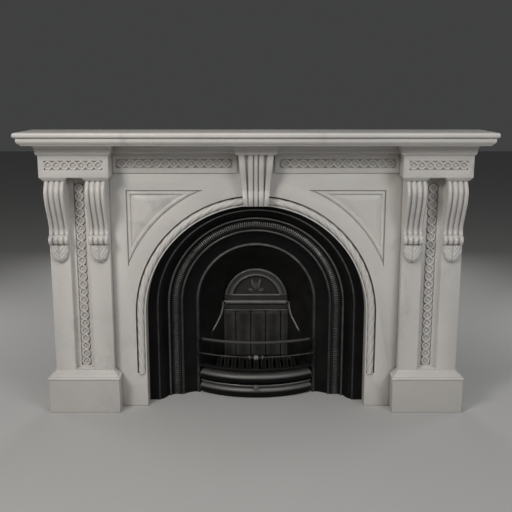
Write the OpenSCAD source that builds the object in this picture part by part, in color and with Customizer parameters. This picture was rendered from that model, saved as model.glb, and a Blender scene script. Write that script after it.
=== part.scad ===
// Victorian marble chimneypiece with reeded corbels, a rope-moulded arch and its cast-iron register grate.
// Origin on the hearth at the middle of the wall line: +X right, +Y into the chimney breast, +Z up.

/* [Shelf] */
// Length of the shelf
shelf_w = 1820; // [1760:10:1900]
// Distance from the wall to the nose of the shelf
shelf_d = 259; // [240:1:280]
// Thickness of the shelf
shelf_h = 50; // [44:1:60]
// Height of the top of the shelf above the hearth
total_h = 1158; // [1140:1:1180]

/* [Jambs] */
// Distance from the centreline to the middle of a jamb
jamb_x = 708.5; // [700:0.5:716]
// Width of a pilaster shaft
shaft_w = 240; // [230:2:246]
// Distance from the wall to the front of a shaft
shaft_d = 108; // [100:1:116]
// Width of the long recess between the two strips of a shaft
recess_w = 80; // [70:2:86]
// Depth of that recess
recess_deep = 28; // [20:1:32]
// Height of the plinth with its mouldings
plinth_h = 174; // [160:2:190]
// How far the plinth block stands out from the sides of the shaft
plinth_out = 24.5; // [20:0.5:28]
// How many times as far it stands out in front
plinth_forward = 1.5; // [1:0.1:1.8]
// How far the capital fascia stands out from the corbel heads
capital_bevel = 13; // [10:1:16]
// Height of the underside of a capital above the hearth
capital_z = 966; // [955:1:975]

/* [Arch] */
// Half the width of the arched opening
arch_r = 457.5; // [450:0.5:464]
// Height at which the arch springs from its straight sides
spring_z = 400; // [390:1:410]
// Distance from the wall to the front of the arched slabs
slab_d = 70; // [62:1:74]
// Height of the arched slabs
slab_h = 990; // [984:1:996]
// Radius of the rope moulding
rope_r = 14.5; // [12:0.5:15.5]
// Height of the plain block under the rope
rope_foot = 146; // [140:1:156]
// Length along the rope between one strand and the next
rope_pitch = 48; // [40:1:60]

/* [Corbels] */
// Width of a corbel
corbel_w = 80; // [76:1:80]
// How far the corbel stands out at its fullest
corbel_out = 65; // [50:1:72]

/* [Keystone] */
// Half the width of the keystone at its head
key_top = 69; // [64:1:72]
// Half the width of the keystone at its tip
key_tip = 49; // [44:1:54]
// Height of the tip above the hearth
key_z = 860; // [860:1:866]

/* [Ornament] */
// Diameter of one carved ring
ring_d = 25; // [20:1:28]
// Height of the carved bands in the frieze and capitals
band_h = 36; // [34:1:42]
// Depth to which the carved bands are sunk
band_deep = 7; // [4:0.5:8]

/* [Grate] */
// Half the width of the inner iron arch
grate_r = 247; // [244:1:250]
// Height at which the iron arches spring
iron_spring_z = 415; // [405:1:420]
// How far the front bars bow out of the inner arch
bow_out = 81; // [70:1:86]
// How far the front bars bow out from the lugs that hold them
bar_out = 66; // [58:1:76]
// Wall thickness of the iron castings
iron_t = 10; // [8:1:11]

/* [Hidden] */
$fn = 64;

marble = "#d9d5cf";
iron = "#2b2b2e";
far = 3000;

// Mouldings, as [how far out, how high] from the foot of each
crown_h = 42;
crown_out = 18.5;
crown = concat([[0, 0]], swell([1.5, 1.5], [8.5, 15], 5), [[8.5, 20]], scoop([9.5, 21], [crown_out, 38], 5),
               [[crown_out, crown_h]]);
shelf_out = 25;
nose_r = 8;
shelf_steps = concat([[0, 0]], wave([2, 1], [13, 13], 5), [[15, 15], [15, 28], [12, 29], [12, 31]],
                     arc([shelf_out - nose_r, 30 + nose_r], nose_r, -80, 0, 5),
                     arc([shelf_out - nose_r, shelf_h - nose_r], nose_r, 0, 80, 5),
                     [[shelf_out - nose_r, shelf_h]]);
torus_r = 6;
plinth_steps = concat([[plinth_out, 0], [plinth_out, plinth_h - 32]],
                      arc([plinth_out - 3, plinth_h - 26], torus_r, -60, 90, 8),
                      wave([plinth_out - 6, plinth_h - 19], [0, plinth_h], 6));

shelf_z = total_h - shelf_h;
ring_h = band_deep - 2;
crown_z = shelf_z - crown_h;
capital_w = shaft_w + 6 + 2 * capital_bevel;
capital_d = 162;
strip_w = (shaft_w - recess_w) / 2;
strip_x = (recess_w + strip_w) / 2;
frieze_d = slab_d + 6;
jamb_inner = jamb_x - shaft_w / 2;
capital_inner = jamb_x - capital_w / 2;
band_z = capital_z + 62;

// Seat of the rope: a groove round the arch, open at the front
rope_x = arch_r + 21;
rope_y = -slab_d + 4;
seat_in = rope_x - rope_r - 0.5;
seat_out = rope_x + rope_r + 5.5;
seat_back = -slab_d + 30;
key_side = key_tip + (key_top - key_tip) * 0.16;
rope_end = 90 - asin(key_side / rope_x);

// Sunk panel of the arched slabs
panel_x = arch_r + 65.5;
panel_z = slab_h - 70;
panel_r = arch_r + 105.5;
panel_border = 48;

// Keystone
key_out = 78;
key_cap_w = 2 * key_top + 11;
key_cap_d = 150;

// Iron
plate_y = 0;
mill_y = 63;
mill_in = 334;
mill_out = 358;
cheek_y = 104;
back_y = 249;
back_r = 145;
dome_r = 141;
dome_z = 388;
lip_z = 376;
lip_w = 270;
bow_r = (pow(grate_r, 2) + pow(bow_out, 2)) / (2 * bow_out);
bow_y = 96 - bow_out + bow_r;
bow_angle = 35;
lug_x = grate_r + 3;
bar_r = (pow(lug_x, 2) + pow(bar_out, 2)) / (2 * bar_out);
bar_front = bow_y - bow_r;
grate_z = 112;
grate_h = 12;
brick_z = grate_z + grate_h;
knob_z = 57;
brick_top = 366;
brick_pitch = 68;
brick_shift = 10;
lower_bar_z = 127;
mid_bar_z = 183;
top_bar_z = 246;

function mix(a, b, t) = a + (b - a) * min(max(t, 0), 1);
function ease(t) = (1 - cos(180 * min(max(t, 0), 1))) / 2;
function dome(t) = sqrt(max(0, 1 - t * t));
function flare(t) = 0.64 * t + 0.36 * pow(t, 10);

// Stretches of a profile: a round, then an ogee, a quarter swell and a quarter hollow from a to b
function arc(c, r, a0, a1, n) = [for (i = [0:n]) let (a = mix(a0, a1, i / n)) c + r * [cos(a), sin(a)]];
function wave(a, b, n) = [for (i = [0:n]) [mix(a[0], b[0], ease(i / n)), mix(a[1], b[1], i / n)]];
function swell(a, b, n) =
    [for (i = [0:n]) let (t = 90 * i / n) [mix(a[0], b[0], sin(t)), mix(a[1], b[1], 1 - cos(t))]];
function scoop(a, b, n) =
    [for (i = [0:n]) let (t = 90 * i / n) [mix(a[0], b[0], 1 - cos(t)), mix(a[1], b[1], sin(t))]];

// Extrusions of a flat outline: seen from the front, and seen from the side
module front_cut(y0, y1) translate([0, y1, 0]) rotate([90, 0, 0]) linear_extrude(y1 - y0) children();
module side_cut(x0, x1) translate([x0, 0, 0]) rotate([90, 0, 90]) linear_extrude(x1 - x0) children();
module mirrored(side) { if (side < 0) mirror([1, 0, 0]) children(); else children(); }

// A block w wide and d deep against the wall, whose moulding returns round its front and both ends
module returned(w, d, z, steps, forward = 1) {
    last = len(steps) - 1;
    right_end = [for (s = steps) [w / 2 + s[0], z + s[1]]];
    left_end = [for (i = [last:-1:0]) [-w / 2 - steps[i][0], z + steps[i][1]]];
    face = [for (s = steps) [-d - s[0] * forward, z + s[1]]];
    intersection() {
        front_cut(-far, 0) polygon(concat(right_end, left_end));
        side_cut(-far, far) polygon(concat([[0, z + steps[0][1]]], face, [[0, z + steps[last][1]]]));
    }
}

// A solid through closed rings of points, each ring as long as the next
module loft(rings) {
    n = len(rings[0]);
    m = len(rings);
    polyhedron(points = [for (r = rings) for (p = r) p],
               faces = concat([[for (i = [0:n - 1]) i]],
                              [for (j = [0:m - 2]) for (i = [0:n - 1]) for (k = [0, 1]) let (e = (i + 1) % n)
                                  k == 0 ? [j * n + i, (j + 1) * n + i, (j + 1) * n + e]
                                         : [j * n + i, (j + 1) * n + e, j * n + e]],
                              [[for (i = [0:n - 1]) m * n - 1 - i]]),
               convexity = 10);
}

module ring_row(count, pitch, y, z) {
    for (i = [0:count - 1]) translate([(i - (count - 1) / 2) * pitch, y, z])
        rotate([90, 0, 0]) cylinder(d = ring_d, h = ring_h);
}

module shelf() color(marble)
    returned(shelf_w - 2 * shelf_out, shelf_d - shelf_out, shelf_z, shelf_steps);

module capital_block() {
    moulding = [for (s = crown) [capital_bevel + s[0], crown_z - capital_z + s[1]]];
    returned(capital_w - 2 * capital_bevel, capital_d - capital_bevel, capital_z,
             concat([[0, 0], [capital_bevel, 15]], moulding));
}

// Runs from one capital to the other and breaks forward over the keystone
module bed_mould() color(marble) difference() {
    union() {
        side_cut(-capital_inner, capital_inner) polygon(concat(
            [[0, crown_z]], [for (s = crown) [-frieze_d - s[0], crown_z + s[1]]], [[0, shelf_z]]));
        returned(key_cap_w, key_cap_d, crown_z, crown);
    }
    for (side = [-1, 1]) translate([side * jamb_x, 0, 0]) capital_block();
}

module frieze(side) color(marble) mirrored(side) {
    key_clear = key_top + 6;
    band_x = 94;
    band_w = capital_inner - 14 - band_x;
    frieze_h = crown_z - slab_h;
    difference() {
        union() {
            translate([0, -slab_d, slab_h]) cube([capital_inner, slab_d, frieze_h]);
            translate([key_clear, -frieze_d, slab_h]) cube([capital_inner - key_clear, frieze_d, frieze_h]);
        }
        translate([band_x, -frieze_d - 1, band_z - band_h / 2]) cube([band_w, band_deep + 1, band_h]);
    }
    translate([band_x + band_w / 2, 0, 0]) ring_row(13, 34.6, -frieze_d + band_deep, band_z);
}

// One half of the arched front, with the seat of the rope and the sunk panel above the haunch
module spandrel(side) color(marble) mirrored(side) difference() {
    front_cut(-slab_d, 0) difference() {
        square([jamb_inner, slab_h]);
        square([arch_r, spring_z]);
        translate([0, spring_z]) circle(arch_r, $fn = 128);
    }
    translate([0, 0, spring_z]) rotate([90, 0, 0]) rotate_extrude(angle = rope_end, $fn = 128)
        translate([seat_in, -seat_back]) square([seat_out - seat_in, slab_d]);
    translate([seat_in, -slab_d - 1, rope_foot])
        cube([seat_out - seat_in, slab_d + seat_back + 1, spring_z - rope_foot + 0.01]);
    front_cut(-slab_d - 1, -slab_d + band_deep) difference() {
        panel_field(0);
        panel_field(panel_border);
    }
}

// Outline of the panel above a haunch, drawn in from its edge by a margin
module panel_field(margin) difference() {
    square([panel_x - margin, panel_z - margin]);
    translate([0, spring_z]) circle(panel_r + margin * 1.15, $fn = 128);
    square([far, spring_z + 120]);
}

// Cross-section of the rope at a turn of its strands: a lobed front over a flat bed
function rope_section(turn) = [for (i = [0:11])
    let (a = i * 30 + 15, r = rope_r * (1 - 0.07 * (1 - cos(3 * (a - turn)))))
        sin(a) > -0.3 ? [r * cos(a), r * sin(a)] : [0.9 * rope_r * cos(a), -rope_r + 0.5]];

module rope(side) color(marble) mirrored(side) {
    straight = spring_z - rope_foot;
    bend = rope_x * rope_end * PI / 180;
    count = 68;
    total = straight + bend;
    loft([for (k = [0:count])
        let (s = total * k / count, a = max(0, (s - straight) / rope_x * 180 / PI))
        [for (p = rope_section(120 * s / rope_pitch)) let (r = rope_x + p[0])
            [r * cos(a), rope_y - p[1], s < straight ? rope_foot + s : spring_z + r * sin(a)]]]);
}

module capital(side) color(marble) mirrored(side) translate([jamb_x, 0, 0]) {
    panel_w = capital_w - 46;
    floor_y = -shaft_d + recess_deep;
    difference() {
        capital_block();
        front_cut(-far, floor_y) translate([0, capital_z])
            polygon([[-41, -1], [-29, 15], [29, 15], [41, -1]]);
        translate([-panel_w / 2, -capital_d - 1, band_z - band_h / 2]) cube([panel_w, band_deep + 1, band_h]);
        translate([-far - shaft_w / 2, -slab_d, capital_z - 1]) cube([far, far, slab_h - capital_z + 1]);
    }
    ring_row(7, 32.5, -capital_d + band_deep, band_z);
}

module pilaster(side) color(marble) mirrored(side) translate([jamb_x, 0, 0]) {
    floor_y = -shaft_d + recess_deep;
    band_w = 42;
    ring_pitch = 33;
    ring_count = 23;
    difference() {
        translate([-shaft_w / 2, -shaft_d, plinth_h]) cube([shaft_w, shaft_d, capital_z - plinth_h]);
        translate([-recess_w / 2, -far, plinth_h + 4]) cube([recess_w, far + floor_y, far]);
        translate([-band_w / 2, -far, plinth_h + 12]) cube([band_w, far + floor_y + band_deep, far]);
    }
    for (i = [0:ring_count - 1]) translate([0, floor_y + band_deep, plinth_h + 30 + i * ring_pitch])
        rotate([90, 0, 0]) cylinder(d = ring_d, h = ring_h);
}

module plinth(side) color(marble) mirrored(side) translate([jamb_x, 0, 0]) difference() {
    returned(shaft_w, shaft_d, 0, plinth_steps, plinth_forward);
    translate([-far - shaft_w / 2, -slab_d, -1]) cube([far, far, far]);
}

// Reeds across a carved face, as [from, to] shares of its half width, and the depth between them
corbel_reeds = [[-1, -0.56], [-0.52, -0.02], [0.02, 0.52], [0.56, 1]];
reed_shares = [0.02, 0.5, 0.98];
roll_z = 706;
neck_z = 746;
full_z = capital_z - 47;
leaf_z = 634;
neck_out = 6;
roll_r = (neck_z - roll_z) / 2;
leaf_w = corbel_w / 2 - 3;

// How far a corbel stands out at height z: a scroll above, a roll at the neck and a leaf below it
function corbel_face(z) =
    z > full_z ? corbel_out - 23 * pow((z - full_z) / (capital_z - full_z), 2) :
    z > neck_z ? mix(neck_out, corbel_out, ease((z - neck_z) / (full_z - neck_z))) :
    z > roll_z ? neck_out + 5 + roll_r * dome((z - roll_z - roll_r) / roll_r) :
    mix(9, 19, (z - leaf_z) / (roll_z - leaf_z));
function corbel_half(z) =
    z > roll_z ? corbel_w / 2 : max(3, leaf_w * dome(max(0, roll_z - 16 - z) / 57));
function reed_sink(share, z) = z > roll_z ? 3.5 * (1 - dome(2 * share - 1)) : 0;
function corbel_ring(z) = concat(
    [for (reed = corbel_reeds) for (share = reed_shares)
        let (u = mix(reed[0], reed[1], share), sink = reed_sink(share, z) + (z > roll_z ? 0 : 7 * u * u))
            [u * corbel_half(z), -shaft_d - corbel_face(z) + sink, z]],
    [[corbel_half(z), -shaft_d, z], [-corbel_half(z), -shaft_d, z]]);

module corbel(x) color(marble) translate([x, 0, 0]) loft([for (z = concat(
    [for (i = [0:4]) mix(leaf_z, roll_z - 0.5, pow(i / 4, 1.5))],
    [for (i = [0:6]) roll_z + 0.5 + (neck_z - roll_z - 0.5) * i / 6],
    [for (i = [0:14]) mix(neck_z + 0.5, capital_z, i / 14)])) corbel_ring(z)]);

// Keystone: three upright reeds between two that follow its tapering sides
inner_reeds = 30;
key_head = crown_z - key_z;
function key_half(z) = mix(key_tip, key_top, (z - key_z) / key_head);
function key_face(z) = let (t = (z - key_z) / key_head)
    t < 0.3 ? 38 + 14 * sin(600 * t) : mix(38, key_out, ease((t - 0.3) / 0.6));
function key_points(z) = let (half = key_half(z), side = 17) concat(
    [for (share = [0, 0.5, 1]) [-half + share * side, 2.5 * (1 - dome(2 * share - 1))]],
    [[-inner_reeds - 1, 8], [-inner_reeds, 5]],
    [for (i = [0:2]) for (share = reed_shares)
        [-inner_reeds + 20 * (i + share), 3.5 * (1 - dome(2 * share - 1))]],
    [[inner_reeds, 5], [inner_reeds + 1, 8]],
    [for (share = [0, 0.5, 1]) [half - side + share * side, 2.5 * (1 - dome(2 * share - 1))]]);

module keystone() color(marble) loft([for (i = [0:18]) let (z = key_z + key_head * i / 18) concat(
    [for (p = key_points(z)) [p[0], -slab_d - key_face(z) + p[1], z]],
    [[key_half(z), -slab_d, z], [-key_half(z), -slab_d, z]])]);

// Sweeps a section, drawn as [distance from the centreline, depth], down both sides and over the arch
module arched() {
    translate([0, 0, iron_spring_z]) rotate([90, 0, 0])
        rotate_extrude(angle = 180, $fn = 128) mirror([0, 1]) children();
    for (side = [-1, 1]) mirrored(side) linear_extrude(iron_spring_z) children();
}

// Cast arch: a flange behind the marble, a cove, a milled band and a splayed inner face
module arch_plate() color(iron) arched() polygon(concat(
    [[475, plate_y], [421, plate_y]], arc([416, plate_y + 3], 4, -60, -150, 4),
    [for (i = [0:6]) [mix(411, 381, i / 6), mix(plate_y + 7, 50, 1 - cos(90 * i / 6))]],
    arc([374, 53], 5, -40, -170, 5),
    [[367, mill_y], [mill_out, mill_y], [mill_out, mill_y - 3], [mill_in, mill_y - 3], [mill_in, mill_y]],
    arc([319, mill_y + 3], 5, -30, -170, 5),
    [[312, mill_y + 6], [grate_r + 15, cheek_y - 10]], arc([grate_r + 7, cheek_y - 8], 7, -30, -180, 6),
    [[grate_r, cheek_y], [grate_r + 14, cheek_y], [320, mill_y + 17], [372, mill_y + 10], [388, 58],
     [425, plate_y + iron_t], [475, plate_y + iron_t]]));

function funnel_x(y) = mix(grate_r, back_r, (y - cheek_y) / (back_y - cheek_y));

// Splayed cheeks and back of the fire, with a domed panel and the lip of the hood over the bricks
module fire_back() color(iron) {
    relief = 14;
    sill_z = 409;
    lug = [40, 20, 12];
    arched() polygon([[grate_r, cheek_y], [back_r, back_y], [back_r + iron_t, back_y],
                      [grate_r + iron_t, cheek_y]]);
    front_cut(back_y, back_y + iron_t) arch_outline(back_r + iron_t);
    front_cut(back_y - relief, back_y) intersection() {
        difference() {
            translate([0, dome_z]) circle(dome_r);
            intersection() {
                translate([0, dome_z + 4]) circle(dome_r - 34);
                translate([-far / 2, sill_z]) square(far);
            }
        }
        translate([-far / 2, brick_top]) square(far);
    }
    front_cut(back_y - relief - 4, back_y) translate([-106, sill_z - 6]) square([212, 6]);
    translate([-lip_w / 2, back_y - relief - 3, lip_z]) rotate([0, 90, 0]) cylinder(r = 8, h = lip_w);
    for (side = [-1, 1])
        translate([side * 115 - lug[0] / 2, back_y - lug[1], grate_z - lug[2]]) cube(lug);
}

module arch_outline(r) {
    translate([0, iron_spring_z]) circle(r, $fn = 128);
    translate([-r, 0]) square([2 * r, iron_spring_z]);
}

// Lining of the fire: a ribbed back set a little to the right, and two cheeks whose tops flare down and forward
module fire_brick() color(iron) {
    front_y = 165;
    front_z = 256;
    lining = 11;
    groove_w = 6;
    rear_y = back_y - 0.5;
    face_y = back_y - 14;
    intersection() {
        translate([0, 0, brick_z]) linear_extrude(far) polygon(
            [for (p = [[front_y, -1, 0.3], [rear_y, -1, 0.3], [rear_y, 1, 0.3], [front_y, 1, 0.3],
                       [front_y, 1, lining], [face_y, 1, lining], [face_y, -1, lining], [front_y, -1, lining]])
                [p[1] * (funnel_x(p[0]) - p[2]), p[0]]]);
        side_cut(-far, far) polygon(concat([[front_y - 1, brick_z - 1], [front_y - 1, front_z]],
            [for (i = [0:12]) [mix(front_y, face_y, i / 12), mix(front_z, brick_top, flare(i / 12))]],
            [[rear_y + 1, brick_top], [rear_y + 1, brick_z - 1]]));
        difference() {
            cube(far, center = true);
            for (i = [-1.5:1.5])
                translate([brick_shift + i * brick_pitch - groove_w / 2, face_y - 1, 0])
                    cube([groove_w, 5, brick_top - 30]);
        }
    }
}

// A section drawn as [distance from the bow's centre, height] swept round the bow
module bowed(angle, centre_y = bow_y) translate([0, centre_y, 0]) rotate([0, 0, -90 - angle])
    rotate_extrude(angle = 2 * angle, $fn = 128) children();

// Three bowed bars held by two upright lugs, with a rosette and a short upright in the middle
module front_bars() color(iron) {
    bar_t = 8;
    lug_w = 12;
    for (bar = [[lower_bar_z, 7], [mid_bar_z, 7], [top_bar_z, 12]])
        bowed(asin(lug_x / bar_r), bar_front + bar_r)
            translate([bar_r - bar_t / 2, bar[0]]) square([bar_t, bar[1]]);
    for (side = [-1, 1]) translate([side * lug_x - lug_w / 2, bar_front + bar_out - 4, brick_z])
        cube([lug_w, lug_w, top_bar_z + 14 - brick_z]);
    translate([-2.5, bar_front - 3, lower_bar_z + 5]) cube([5, 6, mid_bar_z - lower_bar_z]);
    for (side = [-1, 1]) translate([side * 28, bar_front + 1, mid_bar_z + 3.5])
        rotate([0, 90, 0]) cylinder(r = 7, h = 5, center = true);
    translate([0, bar_front + 1, mid_bar_z + 3.5]) rotate([90, 0, 0]) cylinder(r = 9, h = 9);
}

module bottom_grate() color(iron) translate([0, 0, grate_z]) {
    bar_pitch = 33;
    rim = 24;
    intersection() {
        union() {
            for (i = [-5:5]) translate([i * bar_pitch - 10, 0, 0]) cube([20, back_y - 5, grate_h]);
            translate([0, bow_y, 0]) difference() {
                cylinder(r = bow_r - 8, h = grate_h, $fn = 128);
                translate([0, 0, -1]) cylinder(r = bow_r - 8 - rim, h = grate_h + 2, $fn = 128);
            }
            translate([-far / 2, 200, 0]) cube([far, rim, grate_h]);
        }
        translate([0, bow_y, 0]) cylinder(r = bow_r - 8, h = grate_h, $fn = 128);
        linear_extrude(grate_h) polygon(concat([[-grate_r + 22, 0], [-grate_r + 22, 80]],
            [for (s = [-1, 1]) for (y = s < 0 ? [cheek_y, back_y - 2] : [back_y - 2, cheek_y])
                [s * (funnel_x(y) - 14), y]],
            [[grate_r - 22, 80], [grate_r - 22, 0]]));
    }
}

// Two rolls with a bead between them, closing the ash pit, and a ledge inside that carries the grate
module ash_front() color(iron) bowed(bow_angle) polygon(concat(
    [[bow_r - 30, 0], [bow_r - 4, 0], [bow_r - 4, 7]], arc([bow_r - 8, 27], 20.5, -65, 62, 9),
    [[bow_r - 5, 50]], arc([bow_r - 1, knob_z], 4.5, -80, 80, 5), [[bow_r - 5, 64]],
    arc([bow_r - 10, 85], 21, -60, 110, 10),
    [[bow_r - 22, grate_z + 1], [bow_r - 38, grate_z + 1], [bow_r - 38, grate_z - 10],
     [bow_r - 26, grate_z - 14], [bow_r - 20, 46]]));

module ash_knob() color(iron) translate([0, bar_front, knob_z]) {
    rotate([90, 0, 0]) translate([0, 0, 2.5]) cylinder(r = 6, h = 9);
    translate([0, -17, 0]) sphere(r = 11);
}

shelf();
bed_mould();
frieze(-1);  // frieze_left
frieze(1);  // frieze_right
keystone();
spandrel(-1);  // spandrel_left
spandrel(1);  // spandrel_right
rope(-1);  // rope_left
rope(1);  // rope_right
capital(-1);  // capital_left
capital(1);  // capital_right
pilaster(-1);  // pilaster_left
pilaster(1);  // pilaster_right
plinth(-1);  // plinth_left
plinth(1);  // plinth_right
corbel(-jamb_x - strip_x);  // corbel_left_outer
corbel(-jamb_x + strip_x);  // corbel_left_inner
corbel(jamb_x - strip_x);  // corbel_right_inner
corbel(jamb_x + strip_x);  // corbel_right_outer
arch_plate();
fire_back();
fire_brick();
front_bars();
bottom_grate();
ash_front();
ash_knob();
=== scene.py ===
"""Victorian marble chimneypiece and its register grate: carving, castings and finishes round the frame."""

import math

import bmesh
import bpy
from bpy.props import FloatProperty, FloatVectorProperty, IntProperty, PointerProperty
from mathutils import Matrix, Vector


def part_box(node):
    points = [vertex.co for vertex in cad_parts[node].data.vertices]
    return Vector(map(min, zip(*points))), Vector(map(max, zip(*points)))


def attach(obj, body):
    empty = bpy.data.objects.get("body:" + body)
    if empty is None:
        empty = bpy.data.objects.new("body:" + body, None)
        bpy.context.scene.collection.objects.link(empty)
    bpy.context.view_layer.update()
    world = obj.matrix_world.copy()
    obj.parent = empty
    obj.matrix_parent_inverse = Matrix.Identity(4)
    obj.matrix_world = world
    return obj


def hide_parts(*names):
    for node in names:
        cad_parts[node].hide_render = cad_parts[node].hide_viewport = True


bl_info = {
    "name": "Marble Chimneypiece",
    "version": (1, 0, 0),
    "blender": (4, 5, 0),
    "location": "View3D > Sidebar > Chimneypiece",
    "description": "Carves and finishes a marble chimneypiece and its cast-iron grate",
    "category": "Object",
}

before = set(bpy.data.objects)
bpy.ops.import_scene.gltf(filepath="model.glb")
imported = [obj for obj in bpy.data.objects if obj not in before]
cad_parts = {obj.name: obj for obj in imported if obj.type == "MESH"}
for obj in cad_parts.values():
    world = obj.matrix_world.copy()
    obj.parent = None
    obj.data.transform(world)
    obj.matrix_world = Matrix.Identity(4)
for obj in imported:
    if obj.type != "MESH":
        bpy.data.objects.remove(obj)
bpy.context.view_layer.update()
SIDES = {"left": -1, "right": 1}
CORBELS = ("corbel_left_outer", "corbel_left_inner", "corbel_right_inner", "corbel_right_outer")
# Depth to which the carved bands and the borders of the haunch panels are sunk
SUNK = 0.007
# Radius to which the eye of each carved ring is cut
EYE_CUT = 0.0128
# How far a capital's die stands in from the crown mould above it
DIE_IN = 0.0185
# Strands in the rope moulding
STRANDS = 3
# How far carving runs into the block behind it, so that no gap shows
BEDDED = 0.0005
# Half the width of the lining at the back of the fire
BACK_HALF = 0.1435


class Span:
    """The box of a node of the frame, with its sides by name."""

    def __init__(self, node):
        (self.x0, self.y0, self.z0), (self.x1, self.y1, self.z1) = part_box(node)
        self.mid_x = (self.x0 + self.x1) / 2
        self.wide = self.x1 - self.x0


SLAB = Span("spandrel_right")
PLATE = Span("arch_plate")
BACK = Span("fire_back")
BRICK = Span("fire_brick")
BARS = Span("front_bars")
ASH = Span("ash_front")
KNOB = Span("ash_knob")
KEY = Span("keystone")
SHAFT = Span("pilaster_right")
CAPITAL = Span("capital_right")
FRIEZE = Span("frieze_right")
ROPE = Span("rope_right")
CORBEL = Span("corbel_right_inner")


# Sizes and colours that a user would change


def length(name, description, default):
    return FloatProperty(name=name, description=description, default=default, min=0.0, unit="LENGTH",
                         precision=4)


def colour(name, description, default):
    return FloatVectorProperty(name=name, description=description, default=default, size=4,
                               subtype="COLOR")


class StoneSizes(bpy.types.PropertyGroup):
    arris: length("Arris", "Width worn off the edges of the marble blocks", 0.0012)
    opening: length("Opening", "Radius of the marble arch", 0.4575)
    spring: length("Springing", "Height at which the marble arch springs", 0.400)
    rope_radius: length("Rope radius", "Radius of the rope moulding", 0.0145)
    rope_pitch: length("Rope pitch", "Distance between one strand of the rope and the next", 0.048)
    rope_groove: length("Rope groove", "Depth of the groove between two strands", 0.0016)
    band_pitch: length("Frieze pitch", "Distance between the carved rings of the frieze", 0.0346)
    capital_pitch: length("Capital pitch", "Distance between the carved rings of a capital", 0.0325)
    shaft_pitch: length("Shaft pitch", "Distance between the carved rings of a pilaster", 0.033)
    interlace: length("Interlace", "Width of the interlace over both ribbons", 0.0355)
    ribbon: length("Ribbon", "Width of one ribbon of the interlace", 0.0054)
    button: length("Button", "Radius of the button in an eye of the interlace", 0.0050)
    reed_depth: length("Reed depth", "Depth of the grooves between the corbel reeds", 0.0105)
    leaf_relief: length("Leaf relief", "How far the leaf under a corbel stands out", 0.0205)


class IronSizes(bpy.types.PropertyGroup):
    spring: length("Springing", "Height at which the iron arches spring", 0.415)
    inner: length("Inner arch", "Radius of the inner iron arch", 0.247)
    mill_radius: length("Milled band", "Radius of the middle of the milled band", 0.346)
    mill_width: length("Milled width", "Width of the milled band", 0.026)
    mill_pitch: length("Milled pitch", "Distance between two teeth of the milled band", 0.0087)
    bar_out: length("Bar bow", "How far the front bars bow out", 0.066)
    ash_out: length("Ash front bow", "How far the ash front bows out", 0.081)
    petals: IntProperty(name="Petals", description="Petals on the rosette of the bars", default=8, min=3)


class Finishes(bpy.types.PropertyGroup):
    marble: colour("Marble", "Body of the marble", (0.60, 0.575, 0.54, 1))
    marble_cool: colour("Cool marble", "Cooler clouds in the marble", (0.47, 0.465, 0.46, 1))
    vein: colour("Vein", "Veins in the marble", (0.27, 0.265, 0.27, 1))
    # Colour of the painted shade in the hollows of the carving, which also stands for old wax and dust.
    grime_and_shade: colour("Grime", "Old wax and dust in the carving", (0.17, 0.145, 0.12, 1))
    iron: colour("Black lead", "Black-leaded iron", (0.0040, 0.0040, 0.0043, 1))
    iron_worn: colour("Worn iron", "Iron where the black lead is thin", (0.0150, 0.0148, 0.0142, 1))
    # Also the colour of the painted highlight on the upper sides of the ash front's rolls.
    bare_iron_and_highlight: colour("Bare iron", "Iron rubbed bright on the edges", (0.34, 0.335, 0.32, 1))
    soot: colour("Soot", "Burnt iron inside the fire", (0.0070, 0.0066, 0.0060, 1))


class StageSizes(bpy.types.PropertyGroup):
    distance: length("Camera distance", "From the wall line to the camera", 3.225)
    height: length("Camera height", "Height of the camera above the hearth", 1.317)
    pitch: FloatProperty(name="Pitch", description="How far the camera looks down",
                         default=math.radians(11.92), subtype="ANGLE")
    lens: FloatProperty(name="Lens", description="Focal length in millimetres", default=55.55, min=1.0)
    floor: length("Floor", "Half the width of the floor", 14.0)


# Node trees written as Python


class Num:
    """A number inside a node tree. Arithmetic on it adds Math nodes."""

    def __init__(self, nodes, socket):
        self.nodes = nodes
        self.socket = socket

    def __add__(self, other):
        return self.nodes.math("ADD", self, other)

    def __sub__(self, other):
        return self.nodes.math("SUBTRACT", self, other)

    def __rsub__(self, other):
        return self.nodes.math("SUBTRACT", other, self)

    def __mul__(self, other):
        return self.nodes.math("MULTIPLY", self, other)

    def __truediv__(self, other):
        return self.nodes.math("DIVIDE", self, other)

    def __pow__(self, other):
        return self.nodes.math("POWER", self, other)

    def __abs__(self):
        return self.nodes.math("ABSOLUTE", self)

    __radd__ = __add__
    __rmul__ = __mul__

    def clamped(self):
        return self.nodes.math("ADD", self, 0.0, use_clamp=True)

    def cos(self):
        return self.nodes.math("COSINE", self)

    def sin(self):
        return self.nodes.math("SINE", self)


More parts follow.
